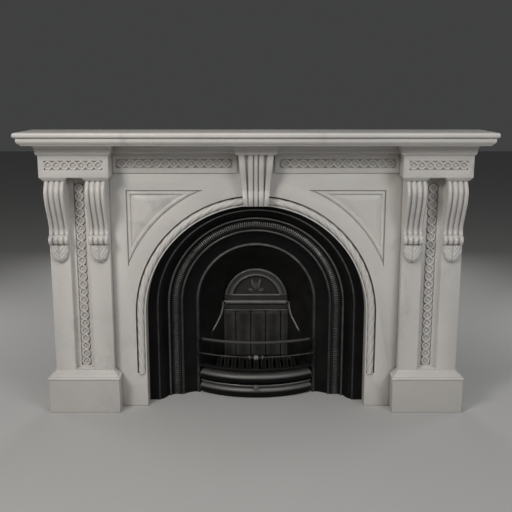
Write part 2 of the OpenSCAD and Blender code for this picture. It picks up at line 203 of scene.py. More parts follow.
class Nodes:
    """Adds nodes to one tree: the settings of a node are set before its sockets."""

    def __init__(self, tree):
        self.tree = tree

    def node(self, kind, settings=None, sockets=None):
        made = self.tree.nodes.new(kind)
        for key, value in (settings or {}).items():
            if key == "stops":
                self.set_stops(made.color_ramp.elements, value)
            else:
                setattr(made, key, value)
        for key, value in (sockets or {}).items():
            self.feed(made.inputs[key], value)
        return made

    @staticmethod
    def set_stops(elements, stops):
        while len(elements) < len(stops):
            elements.new(1.0)
        for element, (place, value) in zip(elements, stops):
            element.position = place
            element.color = (value, value, value, 1)

    def feed(self, socket, value):
        if isinstance(value, Num):
            value = value.socket
        if isinstance(value, bpy.types.Node):
            value = value.outputs[0]
        if isinstance(value, bpy.types.NodeSocket):
            self.tree.links.new(value, socket)
        else:
            socket.default_value = value

    def math(self, operation, *values, **settings):
        made = self.node("ShaderNodeMath", {"operation": operation, **settings}, dict(enumerate(values)))
        return Num(self, made.outputs[0])

    def vector(self, operation, *values):
        made = self.node("ShaderNodeVectorMath", {"operation": operation}, dict(enumerate(values)))
        return made.outputs[0]

    def scaled(self, vector, factor):
        made = self.node("ShaderNodeVectorMath", {"operation": "SCALE"}, {0: vector, "Scale": factor})
        return made.outputs[0]

    def xyz(self, x=0.0, y=0.0, z=0.0):
        return self.node("ShaderNodeCombineXYZ", None, {0: x, 1: y, 2: z}).outputs[0]


class Finish(Nodes):
    """A material built up from patterns on object coordinates."""

    # Places of the colour sockets on a Mix node
    MIX_A, MIX_B, MIX_RESULT = 6, 7, 2

    def __init__(self, name):
        self.material = bpy.data.materials.new(name)
        self.material.use_nodes = True
        super().__init__(self.material.node_tree)
        self.tree.nodes.clear()
        self.place = self.node("ShaderNodeTexCoord").outputs["Object"]

    def noise(self, scale, detail=3.0, roughness=0.5, place=None):
        made = self.node("ShaderNodeTexNoise", None, {"Vector": place or self.place, "Scale": scale,
                                                      "Detail": detail, "Roughness": roughness})
        return Num(self, made.outputs["Fac"])

    def attribute(self, name):
        return Num(self, self.node("ShaderNodeAttribute", {"attribute_name": name}).outputs["Fac"])

    def ramp(self, value, *stops):
        return Num(self, self.node("ShaderNodeValToRGB", {"stops": stops}, {"Fac": value}).outputs["Color"])

    def mix(self, factor, a, b):
        made = self.node("ShaderNodeMix", {"data_type": "RGBA"},
                         {"Factor": factor, self.MIX_A: a, self.MIX_B: b})
        return made.outputs[self.MIX_RESULT]

    def shelter(self, distance, inside):
        """How closely a place is shut in, or with inside, how thin the piece is behind it."""
        made = self.node("ShaderNodeAmbientOcclusion", {"samples": 6, "inside": inside},
                         {"Distance": distance})
        return 1 - Num(self, made.outputs["AO"])

    def crevice(self, distance):
        """1 in the bottom of a groove, 0 on an open face."""
        return self.ramp(self.shelter(distance, False), (0.30, 0.0), (0.95, 1.0))

    def arris(self, distance):
        """1 on a sharp outer edge, 0 on an open face."""
        return self.ramp(self.shelter(distance, True), (0.18, 0.0), (0.60, 1.0))

    def bump(self, height, distance, strength=1.0):
        return self.node("ShaderNodeBump", None,
                         {"Height": height, "Distance": distance, "Strength": strength})

    def surface(self, varying, plain):
        shader = self.node("ShaderNodeBsdfPrincipled", None, {**plain, **varying})
        self.node("ShaderNodeOutputMaterial", None, {"Surface": shader})
        return self.material


def marble(colours):
    """Honed white marble with soft clouds, thin grey veins, and painted shade with old wax in the carving."""
    finish = Finish("honed_marble")
    block = finish.attribute("block")
    place = finish.vector("ADD", finish.place, finish.xyz(block * 7.3, block * 3.9, block * 5.1))
    drift = finish.node("ShaderNodeTexNoise", None, {"Vector": place, "Scale": 3.5, "Detail": 4.0})
    bent = finish.vector("ADD", place, finish.scaled(drift.outputs["Color"], 0.30))
    clouds = finish.ramp(finish.noise(2.4, 5.0, 0.6, bent), (0.36, 0.0), (0.68, 1.0))
    mottle = finish.noise(38.0, 4.0, 0.6, place)
    gate = finish.ramp(finish.noise(1.7, 2.0, 0.5, place), (0.47, 0.0), (0.62, 1.0))
    broad = finish.ramp(abs(finish.noise(1.9, 4.0, 0.55, bent) - 0.5), (0.0, 1.0), (0.035, 0.0))
    hair = finish.ramp(abs(finish.noise(5.2, 5.0, 0.6, bent) - 0.5), (0.0, 1.0), (0.012, 0.0))
    veins = (broad * gate * 0.28 + hair * gate * 0.20).clamped()
    # Painted shade: where the carving is shut in, the marble is darkened towards this colour, as much for its
    # shade as for old wax and dust.
    grime_and_shade = finish.crevice(0.014)
    body = finish.mix((clouds * 0.42 + mottle * 0.16).clamped(), colours.marble, colours.marble_cool)
    veined = finish.mix(veins, body, colours.vein)
    grimed_and_shaded = finish.mix((grime_and_shade * (mottle * 0.5 + 0.55)).clamped(), veined, colours.grime_and_shade)
    grain = finish.noise(420.0, 2.0, 0.6) * 0.5 + finish.noise(46.0, 3.0, 0.5) * 1.6
    rough = (mottle * 0.16 + grime_and_shade * 0.25 + 0.30).clamped()
    return finish.surface(
        {"Base Color": grimed_and_shaded, "Roughness": rough, "Normal": finish.bump(grain, 0.0002, 0.45)},
        {"IOR": 1.49, "Subsurface Weight": 0.06, "Subsurface Scale": 0.004},
    )


def rubbed(finish, smear):
    """How far iron is rubbed bright on its edges, by the share that the piece carries, and bright all over
    where that share is over 1, which paints the highlight on the ash front's rolls.
    """
    polish = finish.attribute("polish")
    # A share over 1 turns the whole surface to bright metal; on the ash front's rolls this is a painted
    # highlight.
    return (finish.arris(0.005) * smear * polish + (polish - 1).clamped()).clamped()


def blackleaded(colours):
    """Cast iron under black lead, rubbed bright where hands and brushes reach, with a painted highlight along
    the tops of the ash front's rolls.
    """
    finish = Finish("blackleaded_iron")
    blotch = finish.ramp(finish.noise(7.0, 5.0, 0.62), (0.42, 0.0), (0.66, 1.0))
    smear = finish.noise(26.0, 4.0, 0.6)
    grain = finish.noise(520.0, 2.0, 0.6) * 0.5 + finish.noise(150.0, 3.0, 0.65) * 1.4
    dust = finish.crevice(0.010)
    # Rubbed edges, and the painted highlight on the ash front's rolls.
    bare_and_highlight = rubbed(finish, finish.ramp(smear, (0.30, 0.45), (0.62, 1.0)))
    body = finish.mix((blotch * 0.35 + smear * 0.15).clamped(), colours.iron, colours.iron_worn)
    bright = finish.mix((bare_and_highlight * 0.8).clamped(), body, colours.bare_iron_and_highlight)
    return finish.surface(
        {"Base Color": finish.mix((dust * 0.8).clamped(), bright, colours.soot),
         "Roughness": (blotch * 0.10 + smear * 0.14 + dust * 0.20 - bare_and_highlight * 0.26 + 0.50).clamped(),
         "Metallic": (bare_and_highlight * 0.9).clamped(),
         "Normal": finish.bump(grain, 0.0006, 0.6)},
        {"Specular IOR Level": 0.10},
    )


def burnt_iron(colours):
    """Iron inside the fire: sooty, scaled and pitted."""
    finish = Finish("burnt_iron")
    scale = finish.ramp(finish.noise(13.0, 6.0, 0.68), (0.40, 0.0), (0.70, 1.0))
    pits = finish.noise(240.0, 3.0, 0.7)
    grain = pits + finish.noise(60.0, 4.0, 0.6) * 2.0
    bare_and_highlight = rubbed(finish, finish.ramp(scale, (0.0, 0.55), (1.0, 1.0)))
    body = finish.mix((scale * 0.9 + pits * 0.6 - 0.2).clamped(), colours.soot, colours.iron_worn)
    return finish.surface(
        {"Base Color": finish.mix((bare_and_highlight * 0.7).clamped(), body, colours.bare_iron_and_highlight),
         "Roughness": (scale * 0.14 + pits * 0.16 - bare_and_highlight * 0.22 + 0.54).clamped(),
         "Metallic": (bare_and_highlight * 0.8).clamped(),
         "Normal": finish.bump(grain, 0.0007, 0.7)},
        {"Specular IOR Level": 0.10},
    )


def pale_floor():
    finish = Finish("studio_floor")
    tone = finish.mix(finish.noise(0.8, 2.0), (0.43, 0.427, 0.42, 1), (0.47, 0.466, 0.458, 1))
    return finish.surface({"Base Color": tone}, {"Roughness": 0.75})


# The maker of each finish, and the slot of the record that it belongs to
FINISHES = {
    "honed_marble": (marble, "marble"),
    "blackleaded_iron": (blackleaded, "polished_iron"),
    "burnt_iron": (burnt_iron, "sooty_iron"),
}


def material(name):
    """The finish called name, made the first time that it is asked for."""
    maker = FINISHES[name][0]
    return bpy.data.materials.get(name) or maker(bpy.context.scene.chimney_finishes)


# Meshes


def put(name, mesh, finish, smooth, block=0.0, polish=1.0, stands_for=None):
    """Links a finished mesh as a piece that rides on the body and may stand for a node.

    Each block of marble has its own number, so that its veins differ from its neighbours'. The rubbing share
    says how brightly an iron piece is rubbed, and where a highlight is painted on the ash front's rolls, as
    one number or as a rule of the place.
    """
    mesh.materials.clear()
    mesh.materials.append(material(finish))
    mesh.polygons.foreach_set("material_index", [0] * len(mesh.polygons))
    mesh.polygons.foreach_set("use_smooth", [True] * len(mesh.polygons))
    mesh.set_sharp_from_angle(angle=math.radians(smooth))
    for key, value in (("block", block), ("polish", polish)):
        layer = mesh.attributes.new(key, "FLOAT", "POINT")
        rule = value if callable(value) else lambda place, same=value: same
        layer.data.foreach_set("value", [rule(vertex.co) for vertex in mesh.vertices])
    piece = bpy.data.objects.new(name, mesh)
    bpy.context.scene.collection.objects.link(piece)
    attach(piece, "root")
    if stands_for:
        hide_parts(stands_for)


def build(name, points, faces):
    """A mesh with its doubles merged and its faces pointing outwards."""
    mesh = bpy.data.meshes.new(name)
    mesh.from_pydata([tuple(p) for p in points], [], faces)
    mesh.validate()
    work = bmesh.new()
    work.from_mesh(mesh)
    bmesh.ops.remove_doubles(work, verts=work.verts, dist=1e-6)
    bmesh.ops.recalc_face_normals(work, faces=work.faces)
    work.to_mesh(mesh)
    work.free()
    return mesh


def loft(rings, first=0):
    """Points and faces of a solid through closed rings, capped at both ends."""
    count = len(rings[0])
    points = [p for ring in rings for p in ring]
    faces = [[first + i for i in range(count)], [first + len(points) - 1 - i for i in range(count)]]
    for row in range(first, first + count * (len(rings) - 1), count):
        for i in range(count):
            after = (i + 1) % count
            faces.append([row + i, row + count + i, row + count + after, row + after])
    return points, faces


def lofted(name, *solids):
    """One mesh from several lofts, each a list of rings."""
    points, faces = [], []
    for rings in solids:
        more_points, more_faces = loft(rings, len(points))
        points += more_points
        faces += more_faces
    return build(name, points, faces)


def softened(node, name, finish, arris, sharp, block=0.0, polish=1.0, cutter=None, twin=None):
    """The node's own solid with its flat faces merged, its edges eased and the cutter's shape sunk in.

    A block that has a twin is made as the twin's mirror image, cutter and all.
    """
    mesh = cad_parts[twin or node].data.copy()
    mesh.name = name
    work = bmesh.new()
    work.from_mesh(mesh)
    bmesh.ops.remove_doubles(work, verts=work.verts, dist=2e-5)
    bmesh.ops.dissolve_limit(work, angle_limit=math.radians(0.6), verts=work.verts, edges=work.edges)
    work.to_mesh(mesh)
    work.free()
    rough = bpy.data.objects.new(name + "_rough", mesh)
    bpy.context.scene.collection.objects.link(rough)
    bevel = rough.modifiers.new("arris", "BEVEL")
    bevel.width = arris
    bevel.segments = 2
    bevel.limit_method = "ANGLE"
    bevel.angle_limit = math.radians(sharp)
    if cutter:
        tool = bpy.data.objects.new(name + "_tool", cutter)
        bpy.context.scene.collection.objects.link(tool)
        cut = rough.modifiers.new("eyes", "BOOLEAN")
        cut.operation = "DIFFERENCE"
        cut.solver = "EXACT"
        cut.object = tool
    eased = evaluated(rough)
    if cutter:
        bpy.data.objects.remove(tool)
    if twin:
        eased.transform(Matrix.Scale(-1, 4, (1, 0, 0)))
        eased.flip_normals()
    put(name, eased, finish, smooth=sharp, block=block, polish=polish, stands_for=node)


def evaluated(source):
    """The source object's evaluated mesh, after which the source is removed."""
    graph = bpy.context.evaluated_depsgraph_get()
    graph.update()
    mesh = bpy.data.meshes.new_from_object(source.evaluated_get(graph))
    mesh.name = source.name
    bpy.data.objects.remove(source)
    return mesh


def mix(a, b, t):
    """From a to b as t goes from 0 to 1, held at both ends."""
    return a + (b - a) * min(max(t, 0.0), 1.0)


def ease(t):
    """From 0 to 1 as t does, slowly at both ends."""
    return (1 - math.cos(math.pi * min(max(t, 0.0), 1.0))) / 2


def dome(t):
    """Height of a round of radius 1 at t from its middle."""
    return math.sqrt(max(0.0, 1 - t * t))


def steps(count):
    return [i / count for i in range(count + 1)]


def circle(count):
    """Angles round a full turn, without the last, which is the first again."""
    return [2 * math.pi * t for t in steps(count)[:-1]]


def arc(centre, radius, start, end, count):
    """Points of a round, with angles in degrees."""
    turns = [math.radians(mix(start, end, t)) for t in steps(count)]
    return [(centre[0] + radius * math.cos(a), centre[1] + radius * math.sin(a)) for a in turns]


def arch_stations(spring, foot, count, end=90.0):
    """Stations up a jamb and round the arch: where each radius starts, and its direction."""
    jamb = [((0.0, mix(foot, spring, t)), 0.0) for t in steps(4)[:-1]]
    return jamb + [((0.0, spring), math.radians(end) * t) for t in steps(count)]


def arched(profile, spring, foot=0.0, count=96):
    """Rings of a section, drawn as (distance from the centreline, depth), over the whole arch."""
    half = arch_stations(spring, foot, count // 2)
    stations = half + [(centre, math.pi - turn) for centre, turn in reversed(half[:-1])]
    return [[(centre[0] + r * math.cos(turn), y, centre[1] + r * math.sin(turn)) for r, y in profile]
            for centre, turn in stations]


# Geometry Nodes trees


class Grower(Nodes):
    """A Geometry Nodes tree with named inputs, which grows one mesh on a carrier object."""

    KINDS = {float: "NodeSocketFloat", int: "NodeSocketInt", Vector: "NodeSocketVector"}

    def __init__(self, name):
        super().__init__(bpy.data.node_groups.new(name, "GeometryNodeTree"))
        self.tree.interface.new_socket("Geometry", in_out="INPUT", socket_type="NodeSocketGeometry")
        self.tree.interface.new_socket("Geometry", in_out="OUTPUT", socket_type="NodeSocketGeometry")
        self.start = self.node("NodeGroupInput")
        self.identifiers = {}

    def squared(self, value, power=0.5):
        """The value from -1 to 1 drawn out towards its ends, which squares off a round."""
        value = value if isinstance(value, Num) else Num(self, value)
        return self.math("SIGN", value) * abs(value) ** power

    def asks(self, name, kind):
        made = self.tree.interface.new_socket(name, in_out="INPUT", socket_type=self.KINDS[kind])
        self.identifiers[name] = made.identifier
        socket = self.start.outputs[name]
        return socket if kind is Vector else Num(self, socket)

    def swept(self, path, section):
        """The section drawn along the path, with its ends closed."""
        return self.node("GeometryNodeCurveToMesh", None,
                         {"Curve": path, "Profile Curve": section, "Fill Caps": True})

    def set_along(self, points, shape, facing):
        """One copy of the shape on each point, turned to its facing."""
        return self.node("GeometryNodeInstanceOnPoints", None,
                         {"Points": points, "Instance": shape, "Rotation": facing})

    def ball(self, radius, segments, rings):
        return self.node("GeometryNodeMeshUVSphere", None,
                         {"Segments": segments, "Rings": rings, "Radius": radius})

    def turned_to(self, points, second, direction):
        """The rotation that lays X along the curve and the second axis in a direction."""
        return self.node("FunctionNodeAxesToRotation", {"primary_axis": "X", "secondary_axis": second},
                         {"Primary Axis": points.outputs["Tangent"], "Secondary Axis": direction})

    def joined(self, *parts):
        made = self.node("GeometryNodeJoinGeometry")
        for part in parts:
            self.feed(made.inputs[0], part)
        return made

    def ends(self, geometry, finish):
        real = self.node("GeometryNodeRealizeInstances", None, {"Geometry": geometry})
        dressed = self.node("GeometryNodeSetMaterial", None, {"Geometry": real, "Material": material(finish)})
        self.node("NodeGroupOutput", None, {"Geometry": dressed})

    def grow(self, name, values, carrier=None):
        base = bpy.data.objects.new(name, carrier or bpy.data.meshes.new(name))
        bpy.context.scene.collection.objects.link(base)
        modifier = base.modifiers.new(name, "NODES")
        modifier.node_group = self.tree
        for key, value in values.items():
            modifier[self.identifiers[key]] = value
        mesh = evaluated(base)
        work = bmesh.new()
        work.from_mesh(mesh)
        bmesh.ops.recalc_face_normals(work, faces=work.faces)
        work.to_mesh(mesh)
        work.free()
        return mesh


def path_curve(name, points):
    """A plain poly curve through points, for a tree to follow."""
    curve = bpy.data.curves.new(name, "CURVE")
    curve.dimensions = "3D"
    line = curve.splines.new("POLY")
    line.points.add(len(points) - 1)
    for spot, place in zip(line.points, points):
        spot.co = (*place, 1.0)
    return curve


def arched_path(name, radius, y, spring, foot):
    """A curve over the whole arch, for a tree to follow."""
    return path_curve(name, [point for ring in arched([(radius, y)], spring, foot, 160) for point in ring])


def interlace_tree():
    """Two flat ribbons woven round a row of sunk eyes, each with a button in it: a guilloche."""
    g = Grower("guilloche")
    start = g.asks("Start", Vector)
    along = g.asks("Along", Vector)
    across = g.asks("Across", Vector)
    count = g.asks("Rings", int)
    pitch = g.asks("Pitch", float)
    swing = g.asks("Swing", float)
    half_wide = g.asks("Half width", float)
    half_deep = g.asks("Half depth", float)
    button_radius = g.asks("Button", float)
    samples_per_ring = 24
    forward = (0.0, -1.0, 0.0)
    strip = g.node("GeometryNodeCurvePrimitiveLine", None, {"Start": (0, 0, 0), "End": (0, 0, 1)})
    strip = g.node("GeometryNodeResampleCurve", None, {"Curve": strip, "Count": count * samples_per_ring + 1})
    share = Num(g, g.node("GeometryNodeSplineParameter").outputs["Factor"])
    turns = share * count - 0.5
    section = g.node("GeometryNodeCurvePrimitiveCircle", None, {"Resolution": 12, "Radius": 1.0})
    split = g.node("ShaderNodeSeparateXYZ", None, {0: g.node("GeometryNodeInputPosition").outputs[0]})
    flattened = g.xyz(g.squared(split.outputs[0]) * half_wide, g.squared(split.outputs[1]) * half_deep)
    section = g.node("GeometryNodeSetPosition", None, {"Geometry": section, "Position": flattened})
    ribbons = []
    for side in (-1, 1):
        phase = turns * math.pi
        bow = g.squared(phase.cos(), 0.8) * swing * side
        rise = g.scaled(forward, phase.sin() * half_deep * 0.22 * side)
        spot = g.vector("ADD", start, g.scaled(along, turns * pitch))
        spot = g.vector("ADD", spot, g.vector("ADD", g.scaled(across, bow), rise))
        woven = g.node("GeometryNodeSetPosition", None, {"Geometry": strip, "Position": spot})
        facing = g.node("GeometryNodeSetCurveNormal", {"mode": "FREE"}, {"Curve": woven, "Normal": forward})
        ribbons.append(g.swept(facing, section))
    row_start = g.vector("SUBTRACT", start, g.scaled(forward, half_deep))
    row = g.node("GeometryNodeMeshLine", None, {"Count": count, "Start Location": row_start,
                                                "Offset": g.scaled(along, pitch)})
    flat = g.node("GeometryNodeTransform", None,
                  {"Geometry": g.ball(button_radius, 20, 12), "Scale": (1.0, 0.50, 1.0)})
    buttons = g.node("GeometryNodeInstanceOnPoints", None, {"Points": row, "Instance": flat})
    g.ends(g.joined(*ribbons, buttons), "honed_marble")
    return g


def rope_tree():
    """Strands twisted along the curve that carries the tree."""
    g = Grower("rope_moulding")
    radius = g.asks("Radius", float)
    groove = g.asks("Groove", float)
    twist = g.asks("Twist", float)
    length_here = Num(g, g.node("GeometryNodeSplineParameter").outputs["Length"])
    path = g.node("GeometryNodeResampleCurve", {"mode": "LENGTH"},
                  {"Curve": g.start.outputs[0], "Length": 0.004})
    path = g.node("GeometryNodeSetCurveTilt", None, {"Curve": path, "Tilt": length_here * twist})
    section = g.node("GeometryNodeCurvePrimitiveCircle", None, {"Resolution": 48, "Radius": 1.0})
    spot = g.node("GeometryNodeInputPosition").outputs[0]
    split = g.node("ShaderNodeSeparateXYZ", None, {0: spot})
    turn = g.math("ARCTAN2", Num(g, split.outputs[1]), Num(g, split.outputs[0]))
    lobe = abs((turn * (STRANDS / 2)).cos()) ** 0.55
    shaped = g.scaled(spot, radius - groove * 2 * (1 - lobe))
    section = g.node("GeometryNodeSetPosition", None, {"Geometry": section, "Position": shaped})
    g.ends(g.swept(path, section), "honed_marble")
    return g


def milled_tree():
    """Fine teeth set square across the curve that carries the tree."""
    g = Grower("milled_band")
    pitch = g.asks("Pitch", float)
    width = g.asks("Width", float)
    relief = g.asks("Relief", float)
    points = g.node("GeometryNodeCurveToPoints", {"mode": "LENGTH"},
                    {"Curve": g.start.outputs[0], "Length": pitch})
    facing = g.turned_to(points, "Y", (0.0, 1.0, 0.0))
    tooth = g.node("GeometryNodeTransform", None,
                   {"Geometry": g.ball(1.0, 8, 6), "Scale": g.xyz(pitch * 0.40, relief, width * 0.5)})
    g.ends(g.set_along(points, tooth, facing), "blackleaded_iron")
    return g


def bar_tree():
    """A bar of oval section along the curve that carries the tree."""
    g = Grower("bowed_bar")
    thick = g.asks("Thick", float)
    tall = g.asks("Tall", float)
    section = g.node("GeometryNodeCurvePrimitiveCircle", None, {"Resolution": 16, "Radius": 1.0})
    section = g.node("GeometryNodeTransform", None, {"Geometry": section, "Scale": g.xyz(thick, tall, 1.0)})
    g.ends(g.swept(g.start.outputs[0], section), "blackleaded_iron")
    return g


def rosette_tree():
    """Petals round a domed eye, facing forward."""
    g = Grower("rosette")
    centre = g.asks("Centre", Vector)
    radius = g.asks("Radius", float)
    petals = g.asks("Petals", int)
    round_eye = g.node("GeometryNodeCurvePrimitiveCircle", None,
                       {"Resolution": petals, "Radius": radius * 0.6})
    points = g.node("GeometryNodeCurveToPoints", {"mode": "EVALUATED"}, {"Curve": round_eye})
    facing = g.turned_to(points, "Z", (0.0, 0.0, 1.0))
    petal = g.node("GeometryNodeTransform", None,
                   {"Geometry": g.ball(radius * 0.5, 12, 8), "Scale": (0.5, 0.95, 0.6)})
    flat = g.joined(g.set_along(points, petal, facing), g.ball(radius * 0.42, 16, 10))
    upright = g.node("GeometryNodeTransform", None,
                     {"Geometry": flat, "Translation": centre, "Rotation": (math.radians(90), 0.0, 0.0)})
    g.ends(upright, "blackleaded_iron")
    return g


# Pieces


class PieceOperator(bpy.types.Operator):
    """Base of the operators that make pieces."""

    bl_options = {"REGISTER", "UNDO"}

    def execute(self, context):
        self.make(context.scene.chimney_stone, context.scene.chimney_iron)
        return {"FINISHED"}


class Band:
    """A carved band: the block that holds it, its name, the middle of its face, and its run of rings."""

    def __init__(self, node, side, middle, along, across, count, pitch):
        self.node = f"{node}_{side}"
        self.name = f"{node}_interlace_{side}"
        self.middle = Vector(middle)
        self.along = Vector(along)
        self.across = Vector(across)
        self.count = count
        self.pitch = pitch

    def centres(self):
        """The middle of each ring, on the face of the block."""
        return [self.middle + self.along * self.pitch * (i - (self.count - 1) / 2)
                for i in range(self.count)]

    def cutter(self):
        """A row of drums that sink the eyes down to the bed of the band."""
        drums = []
        for centre in self.centres():
            ends = (centre.y - 0.002, centre.y + SUNK + 0.0001)
            drums.append([[(centre.x + EYE_CUT * math.cos(a), y, centre.z + EYE_CUT * math.sin(a))
                           for a in circle(28)] for y in ends])
        return lofted(self.name + "_eyes", *drums)


def bands(stone):
    """The bands of the friezes, capitals and pilasters, with the number of rings in each."""
    in_frieze, in_capital, in_shaft = 13, 7, 23
    band_z = CAPITAL.z0 + 0.062
    frieze_from, frieze_to = 0.094, CAPITAL.x0 + DIE_IN - 0.014
    frieze_mid = (frieze_from + frieze_to) / 2
    first_ring, recess = SHAFT.z0 + 0.030, 0.028
    shaft_mid = first_ring + (in_shaft - 1) / 2 * stone.shaft_pitch
    upright, sideways = (0, 0, 1), (1, 0, 0)
    found = []
    for side, sign in SIDES.items():
        frieze = (sign * frieze_mid, FRIEZE.y0, band_z)
        capital = (sign * SHAFT.mid_x, CAPITAL.y0 + DIE_IN, band_z)
        shaft = (sign * SHAFT.mid_x, SHAFT.y0 + recess, shaft_mid)
        found.append(Band("frieze", side, frieze, sideways, upright, in_frieze, stone.band_pitch))
        found.append(Band("capital", side, capital, sideways, upright, in_capital, stone.capital_pitch))
        found.append(Band("pilaster", side, shaft, upright, sideways, in_shaft, stone.shaft_pitch))
    return found


class CHIMNEY_OT_blocks(PieceOperator):
    """Dress the shelf, mouldings, slabs, capitals, shafts and plinths."""

    bl_idname = "chimney.blocks"
    bl_label = "Marble blocks"

    def make(self, stone, iron):
        nodes = ["shelf", "bed_mould"]
        for name in ("frieze", "spandrel", "capital", "pilaster", "plinth"):
            nodes += [name + "_left", name + "_right"]
        carved = {band.node: band for band in bands(stone)}
        for number, node in enumerate(nodes):
            twin = node.replace("left", "right") if node in carved and node.endswith("left") else None
            cutter = carved[twin or node].cutter() if node in carved else None
            softened(node, node + "_marble", "honed_marble", stone.arris, 38.0, block=number + 1.0,
                     cutter=cutter, twin=twin)


class CHIMNEY_OT_interlace(PieceOperator):
    """Carve the guilloche bands of the frieze, capitals and pilasters."""

    bl_idname = "chimney.interlace"
    bl_label = "Carved bands"

    def make(self, stone, iron):
        tree = interlace_tree()
        for band in bands(stone):
            self.carve(tree, stone, band)

    def carve(self, tree, stone, band):
        half_deep = (SUNK - 0.0003) / 2
        first = band.centres()[0] + Vector((0, SUNK - half_deep, 0))
        values = {"Start": first, "Along": band.along, "Across": band.across, "Rings": band.count,
                  "Pitch": band.pitch, "Swing": stone.interlace / 2 - stone.ribbon / 2,
                  "Half width": stone.ribbon / 2, "Half depth": half_deep, "Button": stone.button}
        put(band.name, tree.grow(band.name, values), "honed_marble", smooth=60.0, block=3.0)


class CHIMNEY_OT_haunches(PieceOperator):
    """Carve the raised and fielded panels above the haunches of the arch."""

    bl_idname = "chimney.haunches"
    bl_label = "Haunch panels"

    # The border: a quirk, a bead, a second quirk and a bevel that rises to the field
    QUIRK, BEAD_MID, BEAD_HALF, BEVEL_FROM, BEVEL_TO = SUNK - 0.0012, 0.0105, 0.0076, 0.0200, 0.0450
    PROUD = 0.0003
    # The panel's outer side and its top from the arch and the slab's top, and its curve from the arch
    SIDE_OUT, TOP_DOWN, CURVE_OUT = 0.0655, 0.070, 0.1055
    # The borders of the curve show wider than those of the straight sides
    CURVE_WIDER = 1.15

    def border(self):
        """Section of the border, as (distance in from the edge, depth below the face of the slab)."""
        bead = [(self.BEAD_MID + self.BEAD_HALF * u, self.QUIRK - (self.QUIRK + self.PROUD) * dome(u))
                for u in [math.sin(math.pi / 2 * mix(-1, 1, t)) for t in steps(14)]]
        bevel = [(mix(self.BEVEL_FROM, self.BEVEL_TO, t),
                  mix(self.QUIRK, -self.PROUD, math.sin(math.pi / 2 * t))) for t in steps(8)]
        edge = [(0.0, SUNK + 0.0002), (0.0002, self.QUIRK)]
        return edge + bead + [(self.BEVEL_FROM - 0.0012, self.QUIRK)] + bevel

    def make(self, stone, iron):
        for side, sign in SIDES.items():
            rings = [[(sign * x, SLAB.y0 + depth, z) for x, z in self.outline(stone, margin)]
                     for margin, depth in self.border()]
            name = "haunch_panel_" + side
            put(name, lofted(name, rings), "honed_marble", 50.0, block=8.0 if side == "left" else 9.0)

    def outline(self, stone, margin):
        """Upright, level and curved side of the panel, drawn in by the margin."""
        x1 = stone.opening + self.SIDE_OUT - margin
        z1 = SLAB.z1 - self.TOP_DOWN - margin
        radius = stone.opening + self.CURVE_OUT + margin * self.CURVE_WIDER
        low_z = stone.spring + math.sqrt(radius ** 2 - x1 ** 2)
        near_x = math.sqrt(radius ** 2 - (z1 - stone.spring) ** 2)
        from_turn = math.atan2(z1 - stone.spring, near_x)
        to_turn = math.atan2(low_z - stone.spring, x1)
        curved = [mix(from_turn, to_turn, t) for t in steps(48)]
        upright = [(x1, mix(low_z, z1, t)) for t in steps(6)[1:]]
        level = [(mix(x1, near_x, t), z1) for t in steps(6)[1:-1]]
        return upright + level + [(radius * math.cos(a), stone.spring + radius * math.sin(a))
                                  for a in curved]


class CHIMNEY_OT_rope(PieceOperator):
    """Twist the rope moulding round the arch, mirrored at the crown."""

    bl_idname = "chimney.rope"
    bl_label = "Rope moulding"

    def make(self, stone, iron):
        tree = rope_tree()
        radius = stone.opening + 0.021
        depth = SLAB.y0 + 0.004
        # The strands of both sides meet under the keystone
        end = math.degrees(math.acos(ROPE.x0 / radius)) + 0.6
        stations = arch_stations(stone.spring, ROPE.z0 + 0.0002, 90, end)
        for side, sign in SIDES.items():
            path = [(sign * (c[0] + radius * math.cos(a)), depth, c[1] + radius * math.sin(a))
                    for c, a in stations]
            values = {"Radius": stone.rope_radius, "Groove": stone.rope_groove,
                      "Twist": sign * 2 * math.pi / (STRANDS * stone.rope_pitch)}
            name = "rope_" + side + "_strands"
            put(name, tree.grow(name, values, path_curve("rope_path", path)), "honed_marble", 70.0,
                block=11.0, stands_for="rope_" + side)


